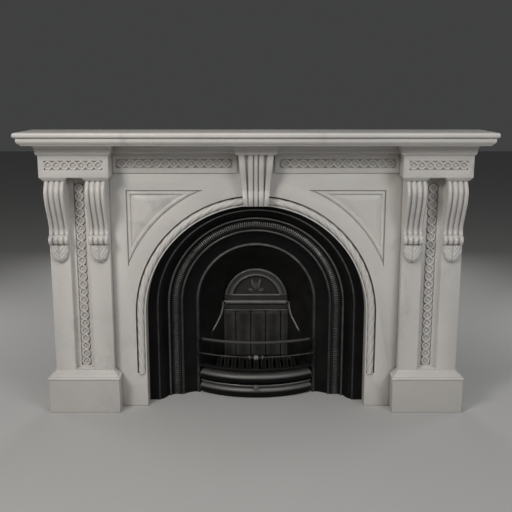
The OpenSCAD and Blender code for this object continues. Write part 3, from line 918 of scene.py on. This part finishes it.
class CHIMNEY_OT_corbels(PieceOperator):
    """Carve the four reeded scroll corbels and the leaf under each."""

    bl_idname = "chimney.corbels"
    bl_label = "Corbels"

    # Left and right side of each reed across the face, as shares of the half width
    REEDS = ((-1.0, -0.57), (-0.50, -0.035), (0.035, 0.50), (0.57, 1.0))
    # How far the scroll stands out where it is fullest and at its neck, and how far its head draws in
    FULL_OUT, NECK_OUT, HEAD_IN = 0.065, 0.006, 0.023
    # The two inner reeds are cut less deep, and lie a little below the outer ones
    INNER_DEPTH, INNER_LOW = 0.78, 0.0012

    def make(self, stone, iron):
        self.roll_z = CORBEL.z0 + 0.072
        self.neck_z = self.roll_z + 0.040
        self.full_z = CORBEL.z1 - 0.047
        for number, node in enumerate(CORBELS):
            mid_x = Span(node).mid_x
            scroll = [self.ring(mid_x, z, stone) for z in self.levels()]
            leaf = [self.leaf_ring(mid_x, t, stone) for t in steps(44)]
            put(node + "_carved", lofted(node, scroll, leaf), "honed_marble", 55.0, block=12.0 + number,
                stands_for=node)

    def levels(self):
        """Heights of the sections, close together round the roll at the foot."""
        roll = [self.roll_z + (self.neck_z - self.roll_z) * ease(t) for t in steps(20)]
        scroll = [mix(self.neck_z + 0.0006, CORBEL.z1, t) for t in steps(120)]
        return roll + scroll

    def face(self, z):
        """How far the scroll stands out at height z."""
        if z > self.full_z:
            above = (z - self.full_z) / (CORBEL.z1 - self.full_z)
            return self.FULL_OUT - self.HEAD_IN * above ** 2
        if z > self.neck_z + 0.0003:
            rise = (z - self.neck_z) / (self.full_z - self.neck_z)
            flare = 0.0062 * math.exp(-((z - self.neck_z) / 0.012) ** 2)
            return mix(self.NECK_OUT, self.FULL_OUT, ease(rise)) + flare
        half = (self.neck_z - self.roll_z) / 2
        return self.NECK_OUT + 0.005 + half * dome((z - self.roll_z - half) / half)

    def ring(self, mid_x, z, stone):
        """A level of the scroll, with its reeds."""
        half = CORBEL.wide / 2
        out = self.face(z)
        points = []
        for start, end in self.REEDS:
            for t in steps(10):
                share = start + (end - start) * t
                depth = stone.reed_depth * (1 - dome(2 * t - 1))
                if abs(share) < self.REEDS[-1][0] - 0.03:
                    depth = depth * self.INNER_DEPTH + self.INNER_LOW
                points.append((mid_x + share * half, SHAFT.y0 - out + depth, z))
        back = SHAFT.y0 + BEDDED
        return points + [(mid_x + half, back, z), (mid_x - half, back, z)]

    def leaf_ring(self, mid_x, t, stone):
        """A level of the leaf, t from its tip to the roll above it."""
        tall = self.roll_z - CORBEL.z0
        z = CORBEL.z0 + tall * t
        lobes = 1 - 0.055 * abs(math.sin(math.pi * 3.0 * t + 0.5))
        half = max(0.0015, (CORBEL.wide / 2 - 0.002) * dome(max(0.0, 0.80 - t) / 0.80) * lobes)
        curl = 0.55 + 0.45 * ease(min(t / 0.25, 1.0))
        points = []
        for u in [mix(-1, 1, s) for s in steps(48)]:
            swell = dome(u * 0.93) ** 0.8
            vein = 0.0011 * math.sin((abs(u) * 2.6 - t * 3.2) * 2 * math.pi) * (1 - abs(u) ** 6)
            stalk = 0.0055 * math.exp(-((u / 0.085) ** 2)) * (0.4 + 0.6 * t)
            out = stone.leaf_relief * curl * swell + vein * swell - stalk
            points.append((mid_x + u * half, SHAFT.y0 - max(0.0005, out), z))
        back = SHAFT.y0 + BEDDED
        return points + [(mid_x + half, back, z), (mid_x - half, back, z)]


class CHIMNEY_OT_keystone(PieceOperator):
    """Carve the keystone: three upright reeds between two that follow its taper."""

    bl_idname = "chimney.keystone"
    bl_label = "Keystone"

    # How far the head and the waist stand out, and the swell of the scroll below the waist
    HEAD_OUT, WAIST_OUT, SCROLL_OUT = 0.078, 0.038, 0.014
    # Left and right of each upright reed, and the width of an outer reed at its foot and at its head
    UPRIGHT = ((-0.0300, -0.0118), (-0.0070, 0.0070), (0.0118, 0.0300))
    OUTER_FOOT, OUTER_HEAD = 0.0175, 0.0235
    HALF_FOOT, GROOVE = 0.049, 0.0085

    def make(self, stone, iron):
        name = "keystone_carved"
        rings = [self.ring(t) for t in steps(130)]
        put(name, lofted(name, rings), "honed_marble", 55.0, block=17.0, stands_for="keystone")

    def face(self, t):
        """How far the keystone stands out, t from its foot to its head."""
        if t < 0.3:
            return self.WAIST_OUT + self.SCROLL_OUT * math.sin(math.radians(600 * t))
        return mix(self.WAIST_OUT, self.HEAD_OUT, ease((t - 0.3) / 0.6))

    def ring(self, t):
        """A level of the keystone, with its five reeds and the hollows between them."""
        half = mix(self.HALF_FOOT, KEY.wide / 2, t)
        out = self.face(t)
        outer = mix(self.OUTER_FOOT, self.OUTER_HEAD, t)
        scoop = half - outer - self.UPRIGHT[-1][1]
        depth = self.GROOVE + 0.55 * scoop
        section = self.reed(-half, outer - half)
        section += [(x - half + outer, y) for x, y in self.hollow(scoop, depth)]
        for number, (left, right) in enumerate(self.UPRIGHT):
            section += self.reed(left, right)
            if number < len(self.UPRIGHT) - 1:
                gap = self.UPRIGHT[number + 1][0] - right
                section += [(right + x, y) for x, y in self.hollow(gap, self.GROOVE)]
        section += [(self.UPRIGHT[-1][1] + x, y) for x, y in self.hollow(scoop, depth)]
        section += self.reed(half - outer, half)
        back = SLAB.y0 + BEDDED
        z = mix(KEY.z0, KEY.z1, t)
        points = [(x, SLAB.y0 - out + sunk, z) for x, sunk in section]
        return points + [(half, back, z), (-half, back, z)]

    @staticmethod
    def reed(left, right):
        """A low round across the reed, as (x, depth below its crown)."""
        return [(mix(left, right, s), 0.0030 * (1 - dome(0.97 * (2 * s - 1)))) for s in steps(8)]

    @staticmethod
    def hollow(gap, depth):
        """A steep-sided groove across the gap between two reeds."""
        brink = 0.0024
        return [(gap * s, brink + (depth - brink) * math.sin(math.pi * s) ** 0.4)
                for s in (0.06, 0.2, 0.4, 0.6, 0.8, 0.94)]


class CHIMNEY_OT_arch_plate(PieceOperator):
    """Cast the arched front of the grate, with its mouldings and milled band."""

    bl_idname = "chimney.arch_plate"
    bl_label = "Arch plate"

    # Depth of the milled band and of the inner arch, and thickness of the plate at its edge
    MILL_Y, CHEEK_Y, THICK = 0.063, 0.104, 0.010
    # Each bead: the radius that it follows, its depth, its own radius and how bright it is rubbed
    BEADS = ((0.416, 0.0010, 0.0030, 0.30), (0.374, 0.0500, 0.0046, 0.45), (0.319, 0.0635, 0.0036, 0.24),
             (0.2535, 0.0915, 0.0042, 0.26))
    TEETH_POLISH = 0.42

    def profile(self, iron):
        """Section of the casting from its outer edge inwards, as (radius, depth), and back behind it."""
        outer_bead, middle_bead, inner_bead = [bead[0] for bead in self.BEADS[:3]]
        outer, inner = iron.mill_radius + iron.mill_width / 2, iron.mill_radius - iron.mill_width / 2
        edge, mill_y, fillet_y = PLATE.x1, self.MILL_Y, self.MILL_Y - 0.0028
        rim = [(edge, PLATE.y0), (0.4212, PLATE.y0)] + arc((outer_bead, 0.003), 0.0042, -40, -170, 8)
        cove = [(mix(0.411, 0.381, t), mix(0.007, 0.050, 1 - math.cos(math.pi / 2 * t))) for t in steps(14)]
        bed = [(0.3670, mill_y), (outer + 0.0035, mill_y), (outer + 0.0025, fillet_y),
               (outer + 0.0008, fillet_y), (outer, mill_y), (inner, mill_y), (inner - 0.0008, fillet_y),
               (inner - 0.0025, fillet_y), (inner - 0.0035, mill_y)]
        hollow = [(mix(0.312, iron.inner + 0.015, t),
                   mix(mill_y + 0.007, self.CHEEK_Y - 0.010, t) + 0.004 * math.sin(math.pi * t))
                  for t in steps(10)]
        lip = arc((iron.inner + 0.007, self.CHEEK_Y - 0.008), 0.0072, -35, -178, 10)
        behind = [(iron.inner, self.CHEEK_Y), (iron.inner + 0.014, self.CHEEK_Y), (0.320, mill_y + 0.017),
                  (0.372, mill_y + 0.010), (0.388, 0.058), (0.425, self.THICK), (edge, self.THICK)]
        return (rim + cove + arc((middle_bead, 0.053), 0.0055, -20, -175, 10) + bed
                + arc((inner_bead, 0.066), 0.0055, -20, -175, 10) + hollow + lip + behind)

    def make(self, stone, iron):
        name = "arch_plate_casting"
        rings = arched(self.profile(iron), iron.spring, PLATE.z0, 128)
        put(name, lofted(name, rings), "blackleaded_iron", 32.0, polish=0.16, stands_for="arch_plate")
        path = arched_path("milled_path", iron.mill_radius, self.MILL_Y, iron.spring, 0.004)
        values = {"Pitch": iron.mill_pitch, "Width": iron.mill_width - 0.002, "Relief": 0.0030}
        put("milled_band", milled_tree().grow("milled_band", values, path), "blackleaded_iron", 60.0,
            polish=lambda place: self.brighter_above(place, self.TEETH_POLISH))
        tree = bar_tree()
        for number, (radius, y, thick, polish) in enumerate(self.BEADS):
            name = f"arch_bead_{number}"
            path = arched_path("bead_path", radius, y, iron.spring, 0.003)
            put(name, tree.grow(name, {"Thick": thick, "Tall": thick}, path), "blackleaded_iron", 60.0,
                polish=lambda place, share=polish: self.brighter_above(place, share))

    @staticmethod
    def brighter_above(place, share):
        """The share grows from the legs of the arch to its head, so the head shows brighter."""
        legs_end, rise = 0.40, 0.34
        return share * mix(0.7, 3.2, (place.z - legs_end) / rise)


class CHIMNEY_OT_fire_back(PieceOperator):
    """Cast the back of the fire with its domed panel, leaves and lip, and set the reeded lining."""

    bl_idname = "chimney.fire_back"
    bl_label = "Fire back and lining"

    # Centre and radius of the domed panel, depth of its face, and heights of its sill and of the hood's lip
    DOME_Z, DOME_R, FACE_Y, SILL_Z, LIP_Z = 0.390, 0.141, 0.235, 0.4095, 0.3745
    # Each leaf: its lean in degrees, its length and half its width
    LEAVES = ((-66, 0.028, 0.0078), (-19, 0.057, 0.0074), (0, 0.040, 0.0046), (19, 0.057, 0.0074),
              (66, 0.028, 0.0078))
    # The lining's columns are set a little to the right, and end below a band
    COLUMN_PITCH, COLUMN_SHIFT, COLUMN_TOP, BAND_Z = 0.068, 0.010, 0.330, 0.3365
    # Depth at which the splayed cheeks begin, behind the inner arch
    CHEEK_Y = 0.1045

    def make(self, stone, iron):
        softened("fire_back", "fire_back_casting", "burnt_iron", 0.0015, 30.0, polish=self.back_polish)
        softened("fire_brick", "fire_brick_lining", "burnt_iron", 0.0022, 30.0, polish=self.lining_polish)
        leaves = [self.leaf(math.radians(turn), tall, half) for turn, tall, half in self.LEAVES]
        columns = [self.column(self.COLUMN_SHIFT + n * self.COLUMN_PITCH) for n in (-2, -1, 0, 1, 2)]
        self.cast("fire_back_leaf", leaves, 60.0, 1.35)
        self.cast("cheek_skin", [self.cove(iron)], 50.0, 0.0)
        self.cast("dome_rim", [self.rim()], 45.0, 1.14)
        self.cast("lining_columns", columns, 50.0, 0.2)
        self.rods()

    @staticmethod
    def cast(name, solids, smooth, polish):
        put(name, lofted(name, *solids), "burnt_iron", smooth, polish=polish)

    def back_polish(self, place):
        """The domed panel is given a higher share than the cheeks round it, so it shows brighter."""
        across = math.hypot(place.x, place.z - self.DOME_Z)
        panel = place.y > self.FACE_Y - 0.02 and place.z > self.LIP_Z and across < self.DOME_R
        return 1.10 if panel else 0.2

    def lining_polish(self, place):
        """The lining shows brighter along its top."""
        return 1.10 if place.z > self.COLUMN_TOP and place.y > self.FACE_Y - 0.01 else 0.0

    def cove(self, iron):
        """Skin of the splayed cheeks, drawing in from the inner arch to the edge of the domed panel."""
        depth = self.FACE_Y - self.CHEEK_Y
        # Turn round the arch, and on the legs below it the height
        arch = [(t, None) for t in steps(72)]
        stations = [(-1.0, 0.004), (-1.0, 0.20)] + arch + [(2.0, 0.20), (2.0, 0.004)]
        rings = []
        for turn, foot in stations:
            ring = []
            for t in steps(12) + [1.0] + steps(12)[::-1]:
                back = len(ring) > 12
                side = math.pi * min(max(turn, 0.0), 1.0)
                narrow = self.DOME_R + 0.0135 * math.cos(side) ** 2
                radius = mix(iron.inner, narrow, t) + (0.0025 if back else -0.0006)
                spring = mix(iron.spring, self.DOME_Z, t)
                height = spring + radius * math.sin(side) if foot is None else foot
                ring.append((radius * math.cos(side), self.CHEEK_Y + depth * t, height))
            rings.append(ring)
        return rings

    def rim(self):
        """Rounded rim of the domed panel, with a bead where it turns in."""
        face_y = self.FACE_Y
        band = [(0.1262 - 0.0135 * math.cos(a), face_y + 0.001 - 0.0062 * math.sin(a))
                for a in [math.pi * t for t in steps(16)]]
        bead = arc((0.1098, face_y + 0.0005), 0.0032, -178, -2, 8)
        section = bead + band + [(0.1405, face_y + 0.004), (0.1062, face_y + 0.004)]
        turns = [mix(math.radians(8.5), math.radians(171.5), t) for t in steps(64)]
        return [[(r * math.cos(a), y, self.DOME_Z + r * math.sin(a)) for r, y in section] for a in turns]

    def column(self, mid_x):
        """A shallow reed of the lining with a round head, cut off at the side of the lining."""
        half, face_y = self.COLUMN_PITCH / 2 - 0.0022, self.FACE_Y
        rings = []
        for t in steps(28):
            z = mix(BRICK.z0 + 0.001, self.COLUMN_TOP, t)
            head = dome(max(0.0, (z - self.COLUMN_TOP + 0.016) / 0.0165))
            inward = half * mix(0.55, 1.0, head)
            ring = []
            for u in [mix(-1, 1, s) for s in steps(14)]:
                x = min(max(mid_x + u * inward, -BACK_HALF), BACK_HALF)
                share = min(abs(x - mid_x) / inward, 1.0)
                ring.append((x, face_y - 0.0004 - 0.0036 * dome(0.98 * share) * max(0.25, head), z))
            rings.append(ring + [(ring[end][0], face_y + 0.001, z) for end in (-1, 0)])
        return rings

    def rods(self):
        """Rounded sill, lip and band, and the rounded tops of the lining's two cheeks."""
        tree = bar_tree()
        # Half length, height, how far it stands out, its own radius and its polish
        spans = {
            "dome_sill": (0.106, self.SILL_Z, 0.004, 0.0030, 1.4),
            "hood_lip": (0.136, self.LIP_Z, 0.006, 0.0078, 1.0),
            "lining_band": (BACK_HALF - 0.002, self.BAND_Z, 0.0005, 0.0034, 0.7),
        }
        runs = {}
        for name, (half, z, proud, thick, polish) in spans.items():
            runs[name] = ([(end, self.FACE_Y - proud, z) for end in (-half, half)], thick, polish)
        lip_end, lip_y, lip_z = 0.1375, self.FACE_Y - 0.0085, self.LIP_Z + 0.0050
        across = [(mix(-lip_end, lip_end, t), lip_y, lip_z) for t in steps(24)]
        left, right = [[self.wing(sign, t) for t in steps(48)] for sign in SIDES.values()]
        runs["hood_edge"] = (left + across + right[::-1], 0.0040, 1.5)
        for name, (path, thick, polish) in runs.items():
            rod = tree.grow(name, {"Thick": thick, "Tall": thick}, path_curve(name + "_path", path))
            put(name, rod, "burnt_iron", 60.0, polish=polish)

    def wing(self, sign, t):
        """A point on the top of a cheek of the lining, from its foot in front, flaring up to the lip."""
        front, front_half, back_half, foot_z = 0.104, 0.247, 0.145, 0.254
        y = mix(BRICK.y0 + 0.004, self.FACE_Y, t)
        x = mix(front_half, back_half, (y - front) / (BACK.y1 - 0.010 - front)) - 0.0060
        rise = 0.64 * t + 0.36 * t ** 10
        return (sign * x, y, mix(foot_z, self.LIP_Z, rise))

    def leaf(self, turn, tall, half):
        """A pointed leaf from the middle of the sill, leaning by turn."""
        ground = BACK.y1 - 0.010
        rings = []
        for t in steps(16):
            wide = max(0.0006, half * math.sin(math.pi * t ** 0.8) ** 0.8)
            ring = []
            for u in [mix(-1, 1, s) for s in steps(10)]:
                crown = 0.0085 * dome(u * 0.96) * math.sin(math.pi * (0.12 + 0.80 * t))
                rise = crown - 0.0025 * math.exp(-(u / 0.2) ** 2)
                across, up = u * wide, 0.012 + tall * t
                ring.append((across * math.cos(turn) + up * math.sin(turn), ground - 0.0006 - max(0.0, rise),
                             self.SILL_Z + 0.007 - across * math.sin(turn) + up * math.cos(turn)))
            rings.append(ring + [(ring[end][0], ground + 0.001, ring[end][2]) for end in (-1, 0)])
        return rings


class Bow:
    """A level arc in front of the grate, with its crown always at the same place."""

    FRONT_Y = 0.015

    def __init__(self, half_chord, out):
        self.radius = (half_chord ** 2 + out ** 2) / (2 * out)
        self.centre_y = self.FRONT_Y + self.radius
        self.half_turn = math.asin(half_chord / self.radius)

    def place(self, turn, radius, z):
        """A place on the arc or on one of another radius round the same centre."""
        return (radius * math.sin(turn), self.centre_y - radius * math.cos(turn), z)

    def path(self, name, z):
        """A curve along the arc, for a tree to follow."""
        turns = [mix(-self.half_turn, self.half_turn, t) for t in steps(48)]
        return path_curve(name, [self.place(turn, self.radius, z) for turn in turns])


class CHIMNEY_OT_bars(PieceOperator):
    """Cast the bowed bars with their lugs, rosette and collars, and the bottom grate."""

    bl_idname = "chimney.bars"
    bl_label = "Bars and bottom grate"

    # Middle height, half height, half thickness and polish of each bar
    BARS = ((0.1305, 0.0034, 0.0040, 0.15), (0.1865, 0.0030, 0.0030, 0.7), (0.252, 0.0060, 0.0045, 1.2))
    # The bars reach a little past the inner arch, to the lugs
    PAST_ARCH = 0.003
    # Radius of a lug between the bars, and how much it swells at a bar
    LUG, LUG_SWELL = 0.0034, 0.0034
    # Outline of a collar, as (distance along the bar, radius)
    COLLAR = ((-0.0036, 0.0030), (-0.0034, 0.0070), (-0.0018, 0.0088), (0.0018, 0.0088), (0.0034, 0.0070),
              (0.0036, 0.0030))
    COLLAR_OUT, UPRIGHT = 0.028, ((-0.0025, -0.003), (0.0025, -0.003), (0.0025, 0.003), (-0.0025, 0.003))

    def make(self, stone, iron):
        bow = Bow(iron.inner + self.PAST_ARCH, iron.bar_out)
        tree = bar_tree()
        work = bmesh.new()
        for number, (z, tall, thick, _) in enumerate(self.BARS):
            bar = tree.grow(f"bar_{number}", {"Thick": thick, "Tall": tall}, bow.path("bar_path", z))
            work.from_mesh(bar)
            bpy.data.meshes.remove(bar)
        for sign in SIDES.values():
            lug = self.lug(sign * (iron.inner + self.PAST_ARCH), bow.FRONT_Y + iron.bar_out + 0.0015)
            work.from_mesh(lofted("bar_lug", lug))
        mesh = bpy.data.meshes.new("front_bars_casting")
        work.to_mesh(mesh)
        work.free()
        put("front_bars_casting", mesh, "blackleaded_iron", 50.0, polish=self.polish, stands_for="front_bars")
        middle_z = self.BARS[1][0]
        eye = Vector((0.0, bow.FRONT_Y - 0.005, middle_z))
        values = {"Centre": eye, "Radius": 0.0120, "Petals": iron.petals}
        rosette = rosette_tree().grow("bar_rosette", values)
        put("bar_rosette", rosette, "blackleaded_iron", 60.0, polish=1.4)
        collars = [self.collar(sign * self.COLLAR_OUT, bow.FRONT_Y + 0.001, middle_z)
                   for sign in SIDES.values()]
        put("bar_collars", lofted("bar_collars", *collars), "blackleaded_iron", 40.0, polish=1.4)
        upright = [[(x, bow.FRONT_Y + y, z) for x, y in self.UPRIGHT] for z in (0.128, 0.187)]
        put("bar_upright", lofted("bar_upright", upright), "blackleaded_iron", 40.0, polish=0.0)
        softened("bottom_grate", "bottom_grate_casting", "burnt_iron", 0.0016, 30.0)

    def polish(self, place):
        """The polish of the bar nearest to a place, and little on the lugs."""
        if abs(place.x) > 0.240:
            return 0.12
        return min(self.BARS, key=lambda bar: abs(bar[0] - place.z))[3]

    def lug(self, x, y):
        """An upright at the end of the bars, swelling where it takes each bar."""
        rings = []
        for t in steps(90):
            z = mix(BARS.z0, BARS.z1, t)
            swell = max(math.exp(-((z - bar[0]) / 0.007) ** 2) for bar in self.BARS)
            half = self.LUG + self.LUG_SWELL * swell
            rings.append([(x + half * math.cos(a), y + half * math.sin(a), z) for a in circle(16)])
        return rings

    def collar(self, x, y, z):
        """A ring on the middle bar, turned about its length."""
        return [[(x + along, y + r * math.cos(a), z + r * math.sin(a)) for a in circle(24)]
                for along, r in self.COLLAR]


class CHIMNEY_OT_ash_front(PieceOperator):
    """Cast the bowed cover of the ash pit, with its two rolls, the bead between them and its knob."""

    bl_idname = "chimney.ash_front"
    bl_label = "Ash front"

    HALF_TURN = math.radians(35)
    # Middle height and radius of each roll, and of the bead
    ROLLS = ((0.027, 0.0205), (0.085, 0.021))
    BEAD = (0.057, 0.0045)

    def polish(self, place):
        """Painted highlight and shade: the rolls are bright on their upper sides, where the light from above
        falls, and black below.
        """
        lift = max((place.z - middle) / radius for middle, radius in self.ROLLS
                   if place.z < middle + radius + 0.012)
        return 1.0 + 0.68 * min(max((lift - 0.15) / 0.55, 0.0), 1.0)

    def profile(self, face):
        """Section of the cover from its foot up, as (radius, height), and back behind it."""
        (lower_z, lower_r), (upper_z, upper_r) = self.ROLLS
        bead_z, bead_r = self.BEAD
        neck = face - 0.006
        foot = [(face - 0.030, 0.0), (face - 0.004, 0.0), (face - 0.004, 0.007)]
        lower = arc((face - 0.008, lower_z), lower_r, -65, 62, 20) + [(neck, 0.0470), (neck, 0.051)]
        bead = arc((face - 0.001, bead_z), bead_r, -80, 80, 12) + [(neck, 0.063), (neck, 0.067)]
        upper = arc((face - 0.010, upper_z), upper_r, -52, 110, 24)
        behind = [(face - 0.022, ASH.z1), (face - 0.038, ASH.z1), (face - 0.038, 0.102),
                  (face - 0.026, 0.098), (face - 0.020, 0.046)]
        return foot + lower + bead + upper + behind

    def make(self, stone, iron):
        name = "ash_front_casting"
        bow = Bow(iron.inner, iron.ash_out)
        turns = [mix(-self.HALF_TURN, self.HALF_TURN, t) for t in steps(72)]
        rings = [[bow.place(turn, r, z) for r, z in self.profile(bow.radius)] for turn in turns]
        # The rule of the place paints a highlight along the top of each roll and leaves the underside black
        # as painted shade.
        put(name, lofted(name, rings), "blackleaded_iron", 32.0, polish=self.polish, stands_for="ash_front")
        self.knob()

    @staticmethod
    def knob():
        """Turned knob with a domed eye in a rounded rim, on a short neck."""
        name = "ash_knob_turned"
        middle_z = (KNOB.z0 + KNOB.z1) / 2
        rim_y, tip = KNOB.y0 + 0.006, 0.0002
        eye = [(0.0062 * math.sin(a), KNOB.y0 + 0.0042 * (1 - math.cos(a)))
               for a in [math.radians(d) for d in range(5, 96, 15)]]
        rim = [(0.0088 - 0.0021 * math.cos(a), rim_y - 0.0021 * math.sin(a))
               for a in [math.radians(d) for d in range(0, 181, 20)]]
        neck = [(0.0104, rim_y + 0.0040), (0.0060, rim_y + 0.0085), (0.0048, rim_y + 0.0120),
                (0.0058, KNOB.y1 - 0.002), (0.0058, KNOB.y1)]
        outline = [(tip, KNOB.y0 + 0.0001)] + eye + rim + neck + [(tip, KNOB.y1)]
        rings = [[(r * math.cos(a), y, middle_z + r * math.sin(a)) for a in circle(28)] for r, y in outline]
        put(name, lofted(name, rings), "blackleaded_iron", 40.0, polish=1.4, stands_for="ash_knob")


class CHIMNEY_OT_stage(bpy.types.Operator):
    """Lay the pale floor, hang the soft lights and set the camera."""

    bl_idname = "chimney.stage"
    bl_label = "Floor, lights and camera"

    # Name, place, aim, width, power and colour of each soft light
    LIGHTS = (
        ("key", (-1.9, -2.7, 2.55), (0.0, 0.0, 0.65), 1.2, 64.0, (1.0, 0.975, 0.94)),
        ("fill", (2.1, -2.9, 2.4), (0.0, 0.0, 0.60), 1.6, 41.0, (0.96, 0.975, 1.0)),
        ("top", (0.0, -1.3, 3.1), (0.0, -0.1, 0.9), 1.6, 16.0, (1.0, 0.99, 0.97)),
        ("left", (-2.6, 1.0, 0.62), (0.0, 0.1, 0.55), 0.9, 13.0, (1.0, 1.0, 1.0)),
        ("right", (2.6, 1.0, 0.62), (0.0, 0.1, 0.55), 0.9, 13.0, (1.0, 1.0, 1.0)),
        ("behind", (0.0, 3.2, 0.62), (0.0, 0.2, 0.55), 1.0, 40.0, (1.0, 1.0, 1.0)),
    )

    def execute(self, context):
        stage = context.scene.chimney_stage
        self.floor(stage)
        self.world(context.scene)
        for name, place, aim, width, power, tint in self.LIGHTS:
            self.light(name, Vector(place), Vector(aim), width, power, tint)
        camera = bpy.data.objects.new("camera", bpy.data.cameras.new("camera"))
        camera.data.lens = stage.lens
        camera.data.sensor_width = 36.0
        camera.location = (0.0, -stage.distance, stage.height)
        camera.rotation_euler = (math.pi / 2 - stage.pitch, 0.0, 0.0)
        context.scene.collection.objects.link(camera)
        context.scene.camera = camera
        return {"FINISHED"}

    @staticmethod
    def floor(stage):
        half = stage.floor
        mesh = bpy.data.meshes.new("studio_floor")
        corners = [(-half, -half, 0), (half, -half, 0), (half, half, 0), (-half, half, 0)]
        mesh.from_pydata(corners, [], [(0, 1, 2, 3)])
        mesh.materials.append(pale_floor())
        floor = bpy.data.objects.new("studio_floor", mesh)
        bpy.context.scene.collection.objects.link(floor)

    @staticmethod
    def world(scene):
        world = bpy.data.worlds.new("soft_room")
        world.use_nodes = True
        sky = world.node_tree.nodes["Background"]
        sky.inputs["Color"].default_value = (0.86, 0.87, 0.88, 1)
        sky.inputs["Strength"].default_value = 0.06
        scene.world = world
        scene.view_settings.view_transform = "Standard"

    @staticmethod
    def light(name, place, aim, width, power, tint):
        lamp = bpy.data.lights.new(name, "AREA")
        lamp.shape = "DISK"
        lamp.size = width
        lamp.energy = power
        lamp.color = tint
        hung = bpy.data.objects.new(name, lamp)
        hung.location = place
        hung.rotation_euler = (aim - place).to_track_quat("-Z", "Y").to_euler()
        bpy.context.scene.collection.objects.link(hung)


class CHIMNEY_PT_panel(bpy.types.Panel):
    """Sidebar panel that lists the operators."""

    bl_idname = "CHIMNEY_PT_panel"
    bl_label = "Chimneypiece"
    bl_space_type = "VIEW_3D"
    bl_region_type = "UI"
    bl_category = "Chimneypiece"

    def draw(self, context):
        for operator in OPERATORS:
            self.layout.operator(operator.bl_idname)
        for owner in ("chimney_stone", "chimney_iron", "chimney_finishes", "chimney_stage"):
            group = getattr(context.scene, owner)
            box = self.layout.box()
            for key in group.__annotations__:
                box.prop(group, key)


OPERATORS = (
    CHIMNEY_OT_blocks,
    CHIMNEY_OT_interlace,
    CHIMNEY_OT_haunches,
    CHIMNEY_OT_rope,
    CHIMNEY_OT_corbels,
    CHIMNEY_OT_keystone,
    CHIMNEY_OT_arch_plate,
    CHIMNEY_OT_fire_back,
    CHIMNEY_OT_bars,
    CHIMNEY_OT_ash_front,
    CHIMNEY_OT_stage,
)
GROUPS = {
    "chimney_stone": StoneSizes,
    "chimney_iron": IronSizes,
    "chimney_finishes": Finishes,
    "chimney_stage": StageSizes,
}


def register():
    for group in GROUPS.values():
        bpy.utils.register_class(group)
    for operator in OPERATORS:
        bpy.utils.register_class(operator)
    bpy.utils.register_class(CHIMNEY_PT_panel)
    for name, group in GROUPS.items():
        setattr(bpy.types.Scene, name, PointerProperty(type=group))


def unregister():
    for name in GROUPS:
        delattr(bpy.types.Scene, name)
    for made in (CHIMNEY_PT_panel, *reversed(OPERATORS), *reversed(list(GROUPS.values()))):
        bpy.utils.unregister_class(made)


def main():
    register()
    for operator in OPERATORS:
        group, name = operator.bl_idname.split(".")
        getattr(getattr(bpy.ops, group), name)()


if __name__ == "__main__":
    main()
